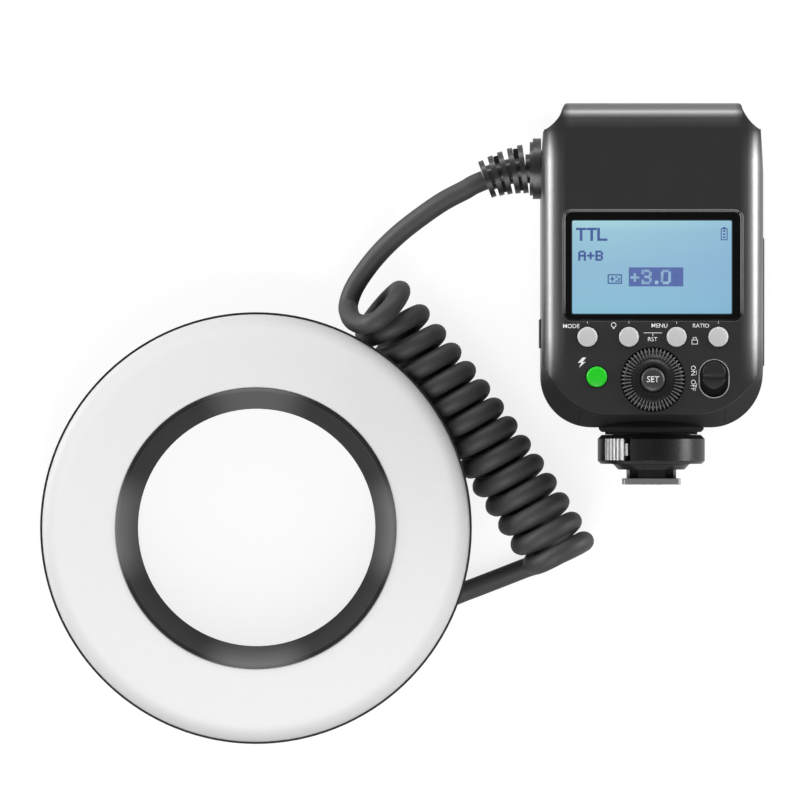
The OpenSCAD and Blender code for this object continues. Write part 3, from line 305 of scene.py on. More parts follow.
def turned_bezel():
    """Black cone with fine turned lines round its axis, and four pale wedges of painted highlight where turned work
    would catch the lamps.
    """
    made, tree, shader, place = start("bezel_turned_black")
    axes = add(tree, "ShaderNodeSeparateXYZ", {"Vector": place})
    line = add(tree, "ShaderNodeCombineXYZ", {"X": axes.outputs["Z"]})
    groove = add(tree, "ShaderNodeTexNoise", {"Vector": line.outputs["Vector"], "Scale": per_metre(0.9), "Detail": 5.0})
    tone = add(tree, "ShaderNodeValToRGB", {"Fac": groove.outputs["Fac"]})
    tone.color_ramp.elements[0].position, tone.color_ramp.elements[1].position = 0.35, 0.66
    tone.color_ramp.elements[0].color = linear("#1f1f1f")
    tone.color_ramp.elements[1].color = linear("#3d3d3e")
    # Painted highlight: four pale wedges at the quarter points, mixed into the colour as turned work shows them under
    # lamps
    angle = add(tree, "ShaderNodeMath", {0: axes.outputs["Y"], 1: axes.outputs["X"]}, operation="ARCTAN2")
    four = add(tree, "ShaderNodeMath", {0: angle.outputs["Value"], 1: 4.0}, operation="MULTIPLY")
    wave = add(tree, "ShaderNodeMath", {0: four.outputs["Value"]}, operation="COSINE")
    wedge = add(tree, "ShaderNodeMapRange", {"Value": wave.outputs["Value"], "From Min": -0.3, "From Max": 1.0,
                                             "To Max": 0.75}, interpolation_type="SMOOTHSTEP")
    painted_wedge_highlight = add(tree, "ShaderNodeMix", {"Factor": wedge.outputs["Result"], "A": tone.outputs["Color"],
                                        "B": linear("#757576")}, data_type="RGBA")
    relief = add(tree, "ShaderNodeBump", {"Height": groove.outputs["Fac"], "Strength": 1.0, "Distance": 0.012 * MM})
    gloss = add(tree, "ShaderNodeMapRange", {"Value": groove.outputs["Fac"], "To Min": 0.5, "To Max": 0.6})
    shader.inputs["Specular IOR Level"].default_value = 0.06
    tree.links.new(painted_wedge_highlight.outputs["Result"], shader.inputs["Base Color"])
    tree.links.new(gloss.outputs["Result"], shader.inputs["Roughness"])
    tree.links.new(relief.outputs["Normal"], shader.inputs["Normal"])
    return made


def opal_acrylic():
    """Frosted opal acrylic: light scatters just under the skin, with painted shade that makes it a little greyer over
    the rolled edge.
    """
    made, tree, shader, place = start("diffuser_opal_acrylic")
    peel = add(tree, "ShaderNodeTexNoise", {"Vector": place, "Scale": per_metre(1.4), "Detail": 2.0})
    flat = add(tree, "ShaderNodeVectorMath", {0: place, 1: (1, 1, 0)}, operation="MULTIPLY")
    out = add(tree, "ShaderNodeVectorMath", {0: flat.outputs["Vector"]}, operation="LENGTH")
    # Painted shade: the colour turns greyer towards the rolled outer edge
    edge = add(tree, "ShaderNodeMapRange", {"Value": out.outputs["Value"], "From Min": 0.0635, "From Max": 0.069},
               interpolation_type="SMOOTHSTEP")
    milk = add(tree, "ShaderNodeMix", {"Factor": peel.outputs["Fac"], "A": linear("#e3e3e4"), "B": linear("#e0e0e1")},
               data_type="RGBA")
    tone = add(tree, "ShaderNodeMix", {"Factor": edge.outputs["Result"], "A": milk.outputs["Result"],
                                       "B": linear("#cacaca")}, data_type="RGBA")
    relief = add(tree, "ShaderNodeBump", {"Height": peel.outputs["Fac"], "Strength": 1.0, "Distance": 0.006 * MM})
    tree.links.new(tone.outputs["Result"], shader.inputs["Base Color"])
    tree.links.new(relief.outputs["Normal"], shader.inputs["Normal"])
    shader.inputs["Roughness"].default_value = 0.55
    shader.inputs["Specular IOR Level"].default_value = 0.3
    shader.inputs["Subsurface Weight"].default_value = 0.15
    shader.inputs["Subsurface Radius"].default_value = (0.002, 0.002, 0.002)
    return made


def cord_jacket():
    """Extruded PVC jacket: matte, with die lines along the cord every 0.8 mm, drawn from the tube's own UV."""
    made, tree, shader, place = start("cord_pvc_jacket")
    along = add(tree, "ShaderNodeUVMap").outputs["UV"]
    stretch = add(tree, "ShaderNodeMapping", {"Vector": along, "Scale": (4.0, 25.0, 1.0)})
    lines = add(tree, "ShaderNodeTexNoise", {"Vector": stretch.outputs["Vector"], "Scale": 1.0, "Detail": 2.0})
    fine = add(tree, "ShaderNodeTexNoise", {"Vector": place, "Scale": per_metre(0.6), "Detail": 2.0})
    both = add(tree, "ShaderNodeMath", {0: lines.outputs["Fac"], 1: fine.outputs["Fac"]}, operation="ADD")
    tone = add(tree, "ShaderNodeMix", {"Factor": lines.outputs["Fac"], "A": linear("#323233"), "B": linear("#3b3b3c")},
               data_type="RGBA")
    relief = add(tree, "ShaderNodeBump", {"Height": both.outputs["Value"], "Strength": 1.0, "Distance": 0.012 * MM})
    gloss = add(tree, "ShaderNodeMapRange", {"Value": fine.outputs["Fac"], "To Min": 0.5, "To Max": 0.64})
    tree.links.new(tone.outputs["Result"], shader.inputs["Base Color"])
    tree.links.new(gloss.outputs["Result"], shader.inputs["Roughness"])
    tree.links.new(relief.outputs["Normal"], shader.inputs["Normal"])
    return made


def lit_display():
    """Backlit display: pale cyan at the top that turns bluer to the lower right, with its own glow."""
    made, tree, shader, place = start("display_backlit_blue")
    axes = add(tree, "ShaderNodeSeparateXYZ", {"Vector": place}).outputs
    ramp = add(tree, "ShaderNodeValToRGB", {"Fac": between(tree, axes["Y"], 99.5, 68.5)})
    ramp.color_ramp.elements[0].color = linear("#b4e2ea")
    ramp.color_ramp.elements[1].color = linear("#8fc6dd")
    ramp.color_ramp.elements.new(0.14).color = linear("#a0cfe0")
    ramp.color_ramp.elements.new(0.5).color = linear("#97c2dc")
    across = times(tree, between(tree, axes["X"], 115, 153), 0.45)
    tone = add(tree, "ShaderNodeMix", {"Factor": across, "A": ramp.outputs["Color"], "B": linear("#8ab6dc")},
               data_type="RGBA")
    tree.links.new(tone.outputs["Result"], shader.inputs["Emission Color"])
    shader.inputs["Emission Strength"].default_value = 0.87
    shader.inputs["Base Color"].default_value = linear("#20303a")
    shader.inputs["Roughness"].default_value = 0.3
    return made


def display_ink(name, code):
    """Liquid-crystal marks on the lit display, dark or clear, with the display's own glow."""
    made, tree, shader, place = start(name)
    shade = add(tree, "ShaderNodeTexNoise", {"Vector": place, "Scale": per_metre(2.0)})
    tone = add(tree, "ShaderNodeMix", {"Factor": shade.outputs["Fac"], "A": linear(code), "B": linear("#4a5f9c")},
               data_type="RGBA")
    tree.links.new(tone.outputs["Result"], shader.inputs["Emission Color"])
    shader.inputs["Emission Strength"].default_value = 0.95
    shader.inputs["Base Color"].default_value = linear("#101626")
    return made


def case_plastic():
    """Charcoal ABS with a fine spark-eroded grain: rubbed to a satin shine along the rounded sides and the top edge,
    duller on the face that slopes away at the bottom, where painted shade makes it darker."""
    made, tree, shader, place = start("case_abs_spark_grain")
    axes = add(tree, "ShaderNodeSeparateXYZ", {"Vector": place}).outputs
    aside = add(tree, "ShaderNodeMath", {0: axes["X"], 1: CTRL[0] * MM}, operation="SUBTRACT").outputs["Value"]
    aside = add(tree, "ShaderNodeMath", {0: aside}, operation="ABSOLUTE").outputs["Value"]
    sides = times(tree, between(tree, aside, 27.8, 30.5), between(tree, axes["Y"], 47, 62))
    sides = times(tree, sides, between(tree, axes["Y"], 128, 118))
    top = times(tree, between(tree, axes["Y"], 128.5, 131), between(tree, aside, 29, 26.5))
    rubbed = add(tree, "ShaderNodeMath", {0: sides, 1: top}, operation="MAXIMUM")
    slope_shade_and_dullness = times(tree, between(tree, axes["Z"], FACE - 0.2, FACE - 1.2), between(tree, axes["Y"], 55, 45))
    wide = add(tree, "ShaderNodeTexNoise", {"Vector": place, "Scale": per_metre(BLOTCH_MM), "Detail": 3.0})
    fine = add(tree, "ShaderNodeTexNoise", {"Vector": place, "Scale": per_metre(0.35), "Detail": 2.0})
    tone = add(tree, "ShaderNodeMix", {"Factor": wide.outputs["Fac"], "A": linear("#2f2f30"), "B": linear("#2c2c2d")},
               data_type="RGBA")
    # Painted shade: the sloping lower face is mixed darker
    tone = add(tree, "ShaderNodeMix", {"Factor": slope_shade_and_dullness, "A": tone.outputs["Result"], "B": linear("#1b1b1c")},
               data_type="RGBA")
    gloss = add(tree, "ShaderNodeMapRange", {"Value": fine.outputs["Fac"], "To Min": 0.44, "To Max": 0.5})
    gloss = add(tree, "ShaderNodeMath", {0: slope_shade_and_dullness, 1: 0.25, 2: gloss.outputs["Result"]}, operation="MULTIPLY_ADD")
    relief = add(tree, "ShaderNodeBump", {"Height": fine.outputs["Fac"], "Strength": 1.0, "Distance": 0.0008 * MM})
    tree.links.new(tone.outputs["Result"], shader.inputs["Base Color"])
    tree.links.new(gloss.outputs["Value"], shader.inputs["Roughness"])
    tree.links.new(relief.outputs["Normal"], shader.inputs["Normal"])
    tree.links.new(rubbed.outputs["Value"], shader.inputs["Coat Weight"])
    shader.inputs["Coat Roughness"].default_value = 0.33
    shader.inputs["Coat IOR"].default_value = 2.3
    shader.inputs["Specular IOR Level"].default_value = 0.12
    return made


def ribbed_plastic(middle, ribs):
    """Charcoal dial plastic whose rib crests are painted paler as highlights: stripes by the angle round the dial's
    middle.
    """
    made, tree, shader, place = start("dial_ribbed_abs")
    out = add(tree, "ShaderNodeVectorMath", {0: place, 1: (middle[0] * MM, middle[1] * MM, 0)}, operation="SUBTRACT")
    axes = add(tree, "ShaderNodeSeparateXYZ", {"Vector": out.outputs["Vector"]}).outputs
    angle = add(tree, "ShaderNodeMath", {0: axes["Y"], 1: axes["X"]}, operation="ARCTAN2")
    turns = add(tree, "ShaderNodeMath", {0: angle.outputs["Value"], 1: float(ribs)}, operation="MULTIPLY")
    wave = add(tree, "ShaderNodeMath", {0: turns.outputs["Value"]}, operation="COSINE")
    crest = add(tree, "ShaderNodeMapRange", {"Value": wave.outputs["Value"], "From Min": 0.1, "From Max": 0.8})
    flat = add(tree, "ShaderNodeVectorMath", {0: out.outputs["Vector"], 1: (1, 1, 0)}, operation="MULTIPLY")
    reach = add(tree, "ShaderNodeVectorMath", {0: flat.outputs["Vector"]}, operation="LENGTH")
    # Painted highlight: the rib crests outside the dish are mixed paler
    crest_painted_highlight = times(tree, crest.outputs["Result"], between(tree, reach.outputs["Value"], 6.7, 7.3))
    tone = add(tree, "ShaderNodeMix", {"Factor": crest_painted_highlight, "A": linear("#202021"), "B": linear("#666667")},
               data_type="RGBA")
    fine = add(tree, "ShaderNodeTexNoise", {"Vector": place, "Scale": per_metre(0.8), "Detail": 2.0})
    gloss = add(tree, "ShaderNodeMapRange", {"Value": fine.outputs["Fac"], "To Min": 0.28, "To Max": 0.38})
    tree.links.new(tone.outputs["Result"], shader.inputs["Base Color"])
    tree.links.new(gloss.outputs["Result"], shader.inputs["Roughness"])
    shader.inputs["Specular IOR Level"].default_value = 0.4
    return made


case_abs = case_plastic()
bezel_black = turned_bezel()
diffuser_opal = opal_acrylic()
cord_pvc = cord_jacket()
display_blue = lit_display()
segment_ink = display_ink("display_segments", "#3b5591")
block_ink = display_ink("display_inverse_block", "#5a6eae")
glow_ink = display_ink("display_clear_segments", "#b4e0f0")


# Cord: lead, curls and lead as one tube. The route is the solids' own, in millimetres, apart from an easier first bend
# and the heights of the first and last strand, which keep the tube clear of itself.
CORD_D, CORD_SIDES = 6.4, 20
CURL_R, CURL_PITCH, CURL_TURNS, CURL_BOW = 9.15, 7.44, 13, 2.2
# The curls run on by a quarter turn at either end
EXTRA_TURN, RINGS_PER_TURN = 0.25, 24
# How far the strands lean along the row: all of them a little, the first ones much more
CURL_TILT, FIRST_TILT, FIRST_TILT_TURNS = 0.35, 5.9, 0.35
# The last turns rise off the table
END_LIFT, LIFT_TURNS = 6, 5
CURL_FROM, CURL_TO = np.array([39.3, 71.4]), np.array([98.7, -9.7])
CURL_Z = CURL_R + CORD_D / 2 + 0.15
CURL_DIR = unit(CURL_TO - CURL_FROM)
CURL_SIDE = np.array([-CURL_DIR[1], CURL_DIR[0]])
CURL_OPEN = np.linalg.norm(CURL_TO - CURL_FROM) - CURL_PITCH * CURL_TURNS
# The first strand passes over the second turn, clear of it; the last one draws back along the row and dips below it
FIRST_RISE, RISE_TURNS = 6.0, 0.8
END_PULL, DIP_AHEAD = 43, 0.04
# The strain relief on the controller: its root, its length, its heading there and its bend in degrees
GLAND_FLANGE, GLAND_Y = 5.0, 116.0
GLAND_ROOT = np.array([CTRL[0] - HALF_CASE - GLAND_FLANGE, GLAND_Y])
GLAND_LONG, GLAND_HEADING, GLAND_BEND = 13.6, 188, 15


def eased(t):
    """Smooth step from nought to one."""
    c = np.clip(t, 0, 1)
    return c * c * (3 - 2 * c)


def curl_points(n):
    """The curls by turns n: a helix whose first turn leans forward and whose last strand dips below the others."""
    begun, left = n + EXTRA_TURN, n - CURL_TURNS
    lean = CURL_TILT + FIRST_TILT * np.exp(-begun / FIRST_TILT_TURNS)
    turn = 2 * np.pi * n
    along = (CURL_PITCH * n + CURL_OPEN * (1 - np.exp(-n)) - lean * np.sin(turn)
             - END_PULL * np.maximum(left, 0) ** 2)
    lift = END_LIFT * eased((left + LIFT_TURNS) / LIFT_TURNS) * (1 - eased((left + DIP_AHEAD) / EXTRA_TURN))
    rise = FIRST_RISE * (1 - eased(begun / RISE_TURNS))
    share = n / CURL_TURNS
    aside = CURL_R * np.cos(turn) + 4 * CURL_BOW * share * (1 - share)
    plan = CURL_FROM + CURL_DIR * along[:, None] + CURL_SIDE * aside[:, None]
    return np.column_stack([plan, CURL_Z + lift + rise - CURL_R * np.sin(turn)])


def smooth_route(points, steps):
    """Catmull-Rom curve through points: each stretch is a cubic set by its two ends and their neighbours."""
    p = np.asarray(points, float)
    a, b, c, d = p[np.r_[0, 0:len(p) - 2]], p[:-1], p[1:], p[np.r_[2:len(p), len(p) - 1]]
    t = np.linspace(0, 1, steps, endpoint=False)[None, :, None]
    a, b, c, d = (v[:, None] for v in (a, b, c, d))
    line = 0.5 * (2 * b + (c - a) * t + (2 * a - 5 * b + 4 * c - d) * t ** 2 + (3 * b - a - 3 * c + d) * t ** 3)
    return np.concatenate([line.reshape(-1, 3), p[-1:]])


def sheathed(path, radius, sides):
    """A round tube along a path, with the side vector carried from ring to ring without twist."""
    ahead = unit(np.gradient(path, axis=0))
    side = np.empty_like(path)
    last = np.array([0.0, 0.0, 1.0])
    for i, direction in enumerate(ahead):
        last = unit(last - direction * (last @ direction))
        side[i] = last
    other = np.cross(ahead, side)
    a = np.linspace(0, 2 * np.pi, sides, endpoint=False)[None, :, None]
    verts = path[:, None] + radius * (np.cos(a) * side[:, None] + np.sin(a) * other[:, None])
    faces = grid_faces(len(path), sides, False, True)
    faces += [list(range(sides)), list(range(len(path) * sides - 1, (len(path) - 1) * sides - 1, -1))]
    return verts.reshape(-1, 3), faces


def gland_point(s):
    """Point on the bent strain relief, s millimetres from its root."""
    a = np.radians(GLAND_HEADING + GLAND_BEND * s / 2 / GLAND_LONG)
    return GLAND_ROOT + s * np.array([np.cos(a), np.sin(a)])


ring_count = round((CURL_TURNS + 2 * EXTRA_TURN) * RINGS_PER_TURN) + 1
curls = curl_points(np.linspace(-EXTRA_TURN, CURL_TURNS + EXTRA_TURN, ring_count))
first_way, last_way = unit((curls[1] - curls[0]) * [1, 1, 0]), unit((curls[-1] - curls[-2]) * [1, 1, 0])
mouth_angle = np.radians(GLAND_HEADING + GLAND_BEND)
gland_way = np.array([np.cos(mouth_angle), np.sin(mouth_angle), 0])
gland_mouth = np.append(gland_point(GLAND_LONG), AXIS_Z) + 0.15 * gland_way
ring_mouth, ring_way = np.array([62.5, -22.8, 6.5]), np.array([0.926, 0.378, 0])
curl_end = curls[-1] + CORD_D * last_way
lead_in = smooth_route([gland_mouth, gland_mouth + 0.6 * CORD_D * gland_way, [67.5, 109.2, 26.4], [60.6, 105.6, 24.6],
                        [53.8, 101, 21.8], [47, 95.8, 18.4], [40.8, 90, 14.8], [35.6, 83.8, 12.4], [31.6, 77.6, 11.4],
                        [29.8, 72.4, 12], [30.1, 69.2, 15.3], [31.5, 66.9, 19.2], [34.2, 65.8, 23.6],
                        [37.2, 66.3, 26.8], curls[0] - 0.3 * CORD_D * first_way], 5)
lead_out = smooth_route([curl_end, curl_end + 0.3 * CORD_D * last_way, [87.2, -13.2, 3.6], [80, -16, 4.2],
                         [72.2, -19, 5.4], ring_mouth + 0.8 * CORD_D * ring_way, ring_mouth], 5)
straight = np.linspace(0.2, 0.8, 3)[:, None]
cord_path = np.concatenate([lead_in, curls, curls[-1] + (curl_end - curls[-1]) * straight, lead_out])
cord_run = np.r_[0, np.cumsum(np.linalg.norm(np.diff(cord_path, axis=0), axis=1))]
cord_verts, cord_faces = sheathed(cord_path, CORD_D / 2, CORD_SIDES)
cord = piece("curly_cord", cord_verts, cord_faces, cord_pvc, "flash",
             ("cord_lead_controller", "cord_coil", "cord_lead_ring"), 60)
cord_uv = cord.data.uv_layers.new(name="along")
cord_at = np.empty(len(cord.data.loops), int)
cord.data.loops.foreach_get("vertex_index", cord_at)
uv = np.stack([cord_run[np.minimum(cord_at // CORD_SIDES, len(cord_run) - 1)] / CORD_D,
               (cord_at % CORD_SIDES) / CORD_SIDES], -1)
cord_uv.data.foreach_set("uv", uv.ravel())


# Ring head
def curved(a, b, c, steps):
    """Quadratic curve from a to c, pulled towards b."""
    t = np.linspace(0, 1, steps)[:, None]
    return (1 - t) ** 2 * np.array(a, float) + 2 * t * (1 - t) * np.array(b, float) + t ** 2 * np.array(c, float)


opal_profile = np.concatenate([
    [[45.3, 28.2], [45.3, 29.7], [45.6, 30.0]], curved([63, 30], [69, 30], [69, 26.4], 18),
    [[69, 26.65], [67.2, 26.65]], curved([67.2, 26.9], [66.8, 28.2], [63.4, 28.2], 8)])
verts, faces = turned(opal_profile, 240)
piece("opal_diffuser", verts, faces, diffuser_opal, "flash", ("ring_diffuser",), 40)
cone_profile = softened([[38.5, 7.6], [44.1, 30.4], [45.2, 30.4], [45.2, 29.0], [44.8, 29.0], [40.2, 9.0],
                         [43.7, 9.0], [43.7, 7.6]], [0.1, 0.25, 0.35, 0.05, 0.05, 0.05, 0.05, 0.05])
verts, faces = turned(cone_profile, 240)
piece("turned_bezel", verts, faces, bezel_black, "flash", ("ring_bezel",), 40)
dressed("ring_rear_housing", smooth_abs, 0.3)
for name in ("release_latch_upper", "release_latch_lower"):
    dressed(name, smooth_abs, 0.2)
dressed("ring_gland", gland_pvc, 0.35)
dressed("cable_gland", gland_pvc, 0.3)

# Case
for name in ("rear_case", "front_case"):
    dressed(name, case_abs, 0.3, 40)
dressed("base_plate", case_abs, 0.3)
dressed("battery_pack", smooth_abs, 0.25)
dressed("port_cover", port_rubber, 0.2)
dressed("front_window", red_acrylic, 0.3)
dressed("lock_collar", collar_nylon, 0.3)
dressed("release_tab", tab_nickel, 0.12)
dressed("foot_plate", foot_steel, 0.2)
dressed("foot_block", collar_nylon, 0.15)


def on_face(x, y):
    """Place on the display face, from the middle of the case's bottom edge."""
    return CTRL + np.array([x, y])


# Display window: glossy frame round an opening, a line round the frame painted paler as a highlight, and the lit panel
# below it
screen = on_face(0, 51.9)
lit = screen + [-0.3, -0.45]
frame_rows = [round_rect(56.9, 35.2, 2.4, screen), round_rect(56.9, 35.2, 2.4, screen),
              round_rect(56.3, 34.6, 2.1, screen), round_rect(51.4, 30.1, 0.6, lit),
              round_rect(51.0, 29.7, 0.4, lit)]
verts, faces = stacked(frame_rows, [52.85, 53.9, 54.15, 54.1, 52.85], closed=True)
piece("window_frame", verts, faces, window_gloss, "flash", ("display_window",))
rim_rows = [round_rect(57.9, 36.2, 2.9, screen), round_rect(57.6, 35.9, 2.75, screen),
            round_rect(57.1, 35.4, 2.5, screen), round_rect(57.1, 35.4, 2.5, screen)]
verts, faces = stacked(rim_rows, [53.98, 54.1, 54.0, 53.9], closed=True)
piece("window_edge", verts, faces, edge_painted_highlight, "flash")
verts, faces = stacked([round_rect(54.2, 32.7, 1, screen)] * 2 + [round_rect(54.0, 32.5, 0.9, screen)],
                       [48.1, 51.65, 51.75])
piece("lit_panel", verts, faces, display_blue, "flash", ("lcd_module",))

# Keys: a straight wall, a rolled edge and a slightly domed top
def key_profile(r, top, flange, low):
    """Half profile of a key from its foot to its crown on the axis."""
    roll = curved([r, top - 0.9], [r, top - 0.25], [r - 0.75, top - 0.12], 6)
    return np.concatenate([[[0, low], [1.6, low], [1.6, 50.2], [flange, 50.2], [flange, 51.5], [r, 51.5]], roll,
                           [[r * 0.5, top - 0.03], [0, top]]])


KEY_TOP, KEY_FOOT = 54.9, 47.2
FUNCTION_KEYS_X = (-21, -7.7, 7.6, 21)
for i, x in enumerate(FUNCTION_KEYS_X):
    verts, faces = turned(key_profile(3.2, KEY_TOP, 4.0, KEY_FOOT), 64, on_face(x, 29.1), open_profile=True)
    piece(f"grey_key_{i + 1}", verts, faces, key_grey, f"function_key_{i + 1}",
          (f"function_button_{i + 1}",))
verts, faces = turned(key_profile(3.3, KEY_TOP, 4.1, KEY_FOOT), 64, on_face(-18, 16.3), open_profile=True)
piece("green_key", verts, faces, key_green, "test_key", ("test_button",))

# Dial: a dished ring whose rim is cut by radial ribs; the rib height rises and falls with the angle
dial_at = on_face(0, 15.4)
ribs, columns_per_rib = 48, 12
columns = ribs * columns_per_rib
spread = np.concatenate([[[4.1, 51.6], [4.1, 53.5]], curved([4.3, 53.6], [5.6, 53.5], [6.6, 53.9], 6),
                         curved([6.75, 54.2], [7.0, 55.3], [8.4, 55.45], 8),
                         curved([8.6, 55.45], [9.9, 55.4], [10.1, 54.0], 8),
                         [[10.15, 53.4], [10.15, 51.4], [10.65, 51.4], [10.65, 50.2], [6.38, 50.2], [6.38, 45.8],
                          [4.98, 45.8], [4.98, 51.6]]])
dial_abs = ribbed_plastic(dial_at, ribs)
angle = np.linspace(0, 2 * np.pi, columns, endpoint=False)
ribbed = np.clip((spread[:, 1] - 53.9) / 0.5, 0, 1)[:, None] * np.clip((spread[:, 0] - 6.5) / 0.6, 0, 1)[:, None]
valley = np.clip(0.72 - 1.1 * np.cos(ribs * angle), 0, 1)[None, :]
r = spread[:, 0:1] - 0.35 * ribbed * valley * np.clip((spread[:, 0:1] - 8.4) / 1.5, 0, 1)
z = spread[:, 1:2] - 1.1 * ribbed * valley
verts = np.stack([dial_at[0] + r * np.cos(angle), dial_at[1] + r * np.sin(angle), z + 0 * angle], -1).reshape(-1, 3)
piece("ribbed_dial", verts, grid_faces(len(spread), columns, True, True), dial_abs, "dial",
      ("select_dial",), 50)
cap = np.concatenate([[[0, 47.2], [2.4, 47.2], [2.4, 52.4], [3.85, 52.4], [3.85, 54.9]],
                      curved([3.83, 55.1], [3.7, 55.9], [2.7, 56.02], 7), [[1.4, 56.08], [0, 56.1]]])
verts, faces = turned(cap, 72, dial_at, open_profile=True)
piece("set_cap", verts, faces, cap_abs, "set_key", ("set_button",))

# Power switch: rim of the recess painted bright as a highlight, and a knob with a ridge across, painted paler as a
# highlight
switch_at, ridge_at = on_face(19.6, 15.65), on_face(19.6, 17.2)
rows = [round_rect(9.9, 12.6, 4.95, switch_at), round_rect(9.6, 12.3, 4.8, switch_at),
        round_rect(9.1, 11.8, 4.55, switch_at), round_rect(9.1, 11.8, 4.55, switch_at)]
verts, faces = stacked(rows, [54.0, 54.22, 53.95, 53.8], closed=True)
piece("switch_rim", verts, faces, rim_painted_highlight, "flash")
dressed("power_switch", smooth_abs, 0.15)
verts, faces = stacked([round_rect(6.6, 0.36, 0.1, ridge_at), round_rect(6.4, 0.2, 0.08, ridge_at)], [54.7, 55.05])
piece("switch_ridge", verts, faces, edge_painted_highlight, "switch_knob")


# Print: lies on the display face, with one thickness for all marks
PRINT_Z, PRINT_THICK = FACE, 0.04


def printed(name, words, height, centre, z, finish, body, turn=0.0, wide=1.0):
    """A word set in a plain sans face, cut as a thin sheet, turned and placed on its middle."""
    curve = bpy.data.curves.new(name, "FONT")
    curve.body, curve.size, curve.align_x, curve.align_y = words, 1.0, "CENTER", "CENTER"
    curve.extrude, curve.offset, curve.resolution_u = 0.0, 0.004, 3
    holder = bpy.data.objects.new(name, curve)
    bpy.context.scene.collection.objects.link(holder)
    bpy.context.view_layer.update()
    flat = bpy.data.meshes.new_from_object(holder.evaluated_get(bpy.context.evaluated_depsgraph_get()))
    co = np.empty(len(flat.vertices) * 3)
    flat.vertices.foreach_get("co", co)
    co = co.reshape(-1, 3)
    low, high = co.min(0), co.max(0)
    co = (co - (low + high) / 2) * (height / (high[1] - low[1]))
    co[:, 0] *= wide
    a = math.radians(turn)
    verts = np.column_stack([co[:, 0] * math.cos(a) - co[:, 1] * math.sin(a) + centre[0],
                             co[:, 0] * math.sin(a) + co[:, 1] * math.cos(a) + centre[1], np.full(len(co), z)])
    faces = [list(p.vertices) for p in flat.polygons]
    bpy.data.objects.remove(holder)
    bpy.data.meshes.remove(flat)
    made = piece(name, verts, faces, finish, body)
    sheet = made.modifiers.new("thick", "SOLIDIFY")
    sheet.thickness, sheet.offset = PRINT_THICK * MM, 1.0
    return made


for name, words, x, y, tall in (("word_mode", "MODE", -26.2, 32.55, 1.35), ("word_menu", "MENU", 2.1, 32.7, 1.35),
                                ("word_ratio", "RATIO", 15.4, 32.7, 1.3), ("word_rst", "RST", -0.1, 28.35, 1.35)):
    printed(name, words, tall, on_face(x, y), PRINT_Z, print_ink, "flash")
printed("word_on", "ON", 1.55, on_face(12.95, 18.3), PRINT_Z, print_ink, "flash", -90, 0.95)
printed("word_off", "OFF", 1.55, on_face(12.95, 13.6), PRINT_Z, print_ink, "flash", -90, 0.95)
printed("word_set", "SET", 1.9, dial_at + [0, 0.1], 56.06, print_ink, "set_key", 0, 0.95)

# Display: letters of square bars on a grid five wide and seven high
GLYPHS = {"T": ((0, 6, 5, 7), (2, 0, 3, 6)), "L": ((0, 0, 1, 7), (1, 0, 5, 1)),
          "A": ((0, 0, 1, 6), (4, 0, 5, 6), (1, 6, 4, 7), (1, 3, 4, 4)),
          "B": ((0, 0, 1, 7), (1, 6, 4, 7), (1, 3, 4, 4), (1, 0, 4, 1), (4, 4, 5, 6), (4, 1, 5, 3)),
          "3": ((0, 6, 4, 7), (1.5, 3, 4, 4), (0, 0, 4, 1), (4, 4, 5, 6), (4, 1, 5, 3), (0, 5, 1, 6), (0, 1, 1, 2)),
          "0": ((0, 1, 1, 6), (4, 1, 5, 6), (1, 6, 4, 7), (1, 0, 4, 1)),
          "+": ((2, 1, 3, 6), (0, 3, 2, 4), (3, 3, 5, 4)), ".": ((2, 0, 3.4, 1.4),)}
# Clear marks lie just over the dark block that carries them
PANEL_Z, CLEAR_Z = 51.75, 51.8
# Each bar runs a little into the gaps between the dots
BAR_SPREAD = np.array([-0.13, -0.1, 0.13, 0.1])


def bars(name, boxes, z, finish, body):
    """Flat rectangles of one mark, given as low and high corners, each as a closed slab."""
    low_high = np.asarray(boxes, float)
    x, y = low_high[:, [0, 2, 2, 0]], low_high[:, [1, 1, 3, 3]]
    low = np.stack([x, y, np.full(x.shape, z)], -1)
    verts = np.concatenate([low, low + [0, 0, PRINT_THICK]], 1).reshape(-1, 3)
    cube = np.array([[3, 2, 1, 0], [4, 5, 6, 7], [0, 1, 5, 4], [1, 2, 6, 5], [2, 3, 7, 6], [3, 0, 4, 7]])
    faces = (cube[None] + 8 * np.arange(len(low_high))[:, None, None]).reshape(-1, 4).tolist()
    return piece(name, verts, faces, finish, body)


def shown(name, letters, left, low, tall, wide, step, finish, z=PANEL_Z):
    """Letters of bars on the display from a left edge: each tall and wide in millimetres, one step apart."""
    scale = np.array([wide / 5, tall / 7] * 2)
    boxes = [np.array(bar) * scale + [left + i * step, low] * 2 + BAR_SPREAD for i, letter in enumerate(letters)
             for bar in GLYPHS[letter]]
    return bars(name, boxes, z, finish, "flash")


shown("shown_mode", "TTL", 103.1, 92.5, 4.0, 3.0, 3.4, segment_ink)
shown("shown_groups", "A+B", 103.8, 86.1, 3.1, 2.2, 2.75, segment_ink)
bars("shown_block", [[119.9, 77.8, 137.4, 83.9]], PANEL_Z, block_ink, "flash")
shown("shown_sign", "+", 120.6, 78.9, 3.5, 2.5, 3, glow_ink, CLEAR_Z)
shown("shown_value", "3.0", 124.1, 78.6, 4.5, 3.0, 3.1, glow_ink, CLEAR_Z)
bars("shown_flag", [[113.1, 78.6, 117.7, 79.0], [113.1, 81.3, 117.7, 81.7], [113.1, 79, 113.5, 81.3],
                    [117.3, 79, 117.7, 81.3], [113.9, 80.0, 115.3, 80.4], [114.4, 79.4, 114.8, 81.0],
                    [115.6, 79.3, 117.0, 79.7], [115.6, 80.6, 116.2, 81.0], [116.4, 79.9, 117.0, 80.5]],
     PANEL_Z, segment_ink, "flash")
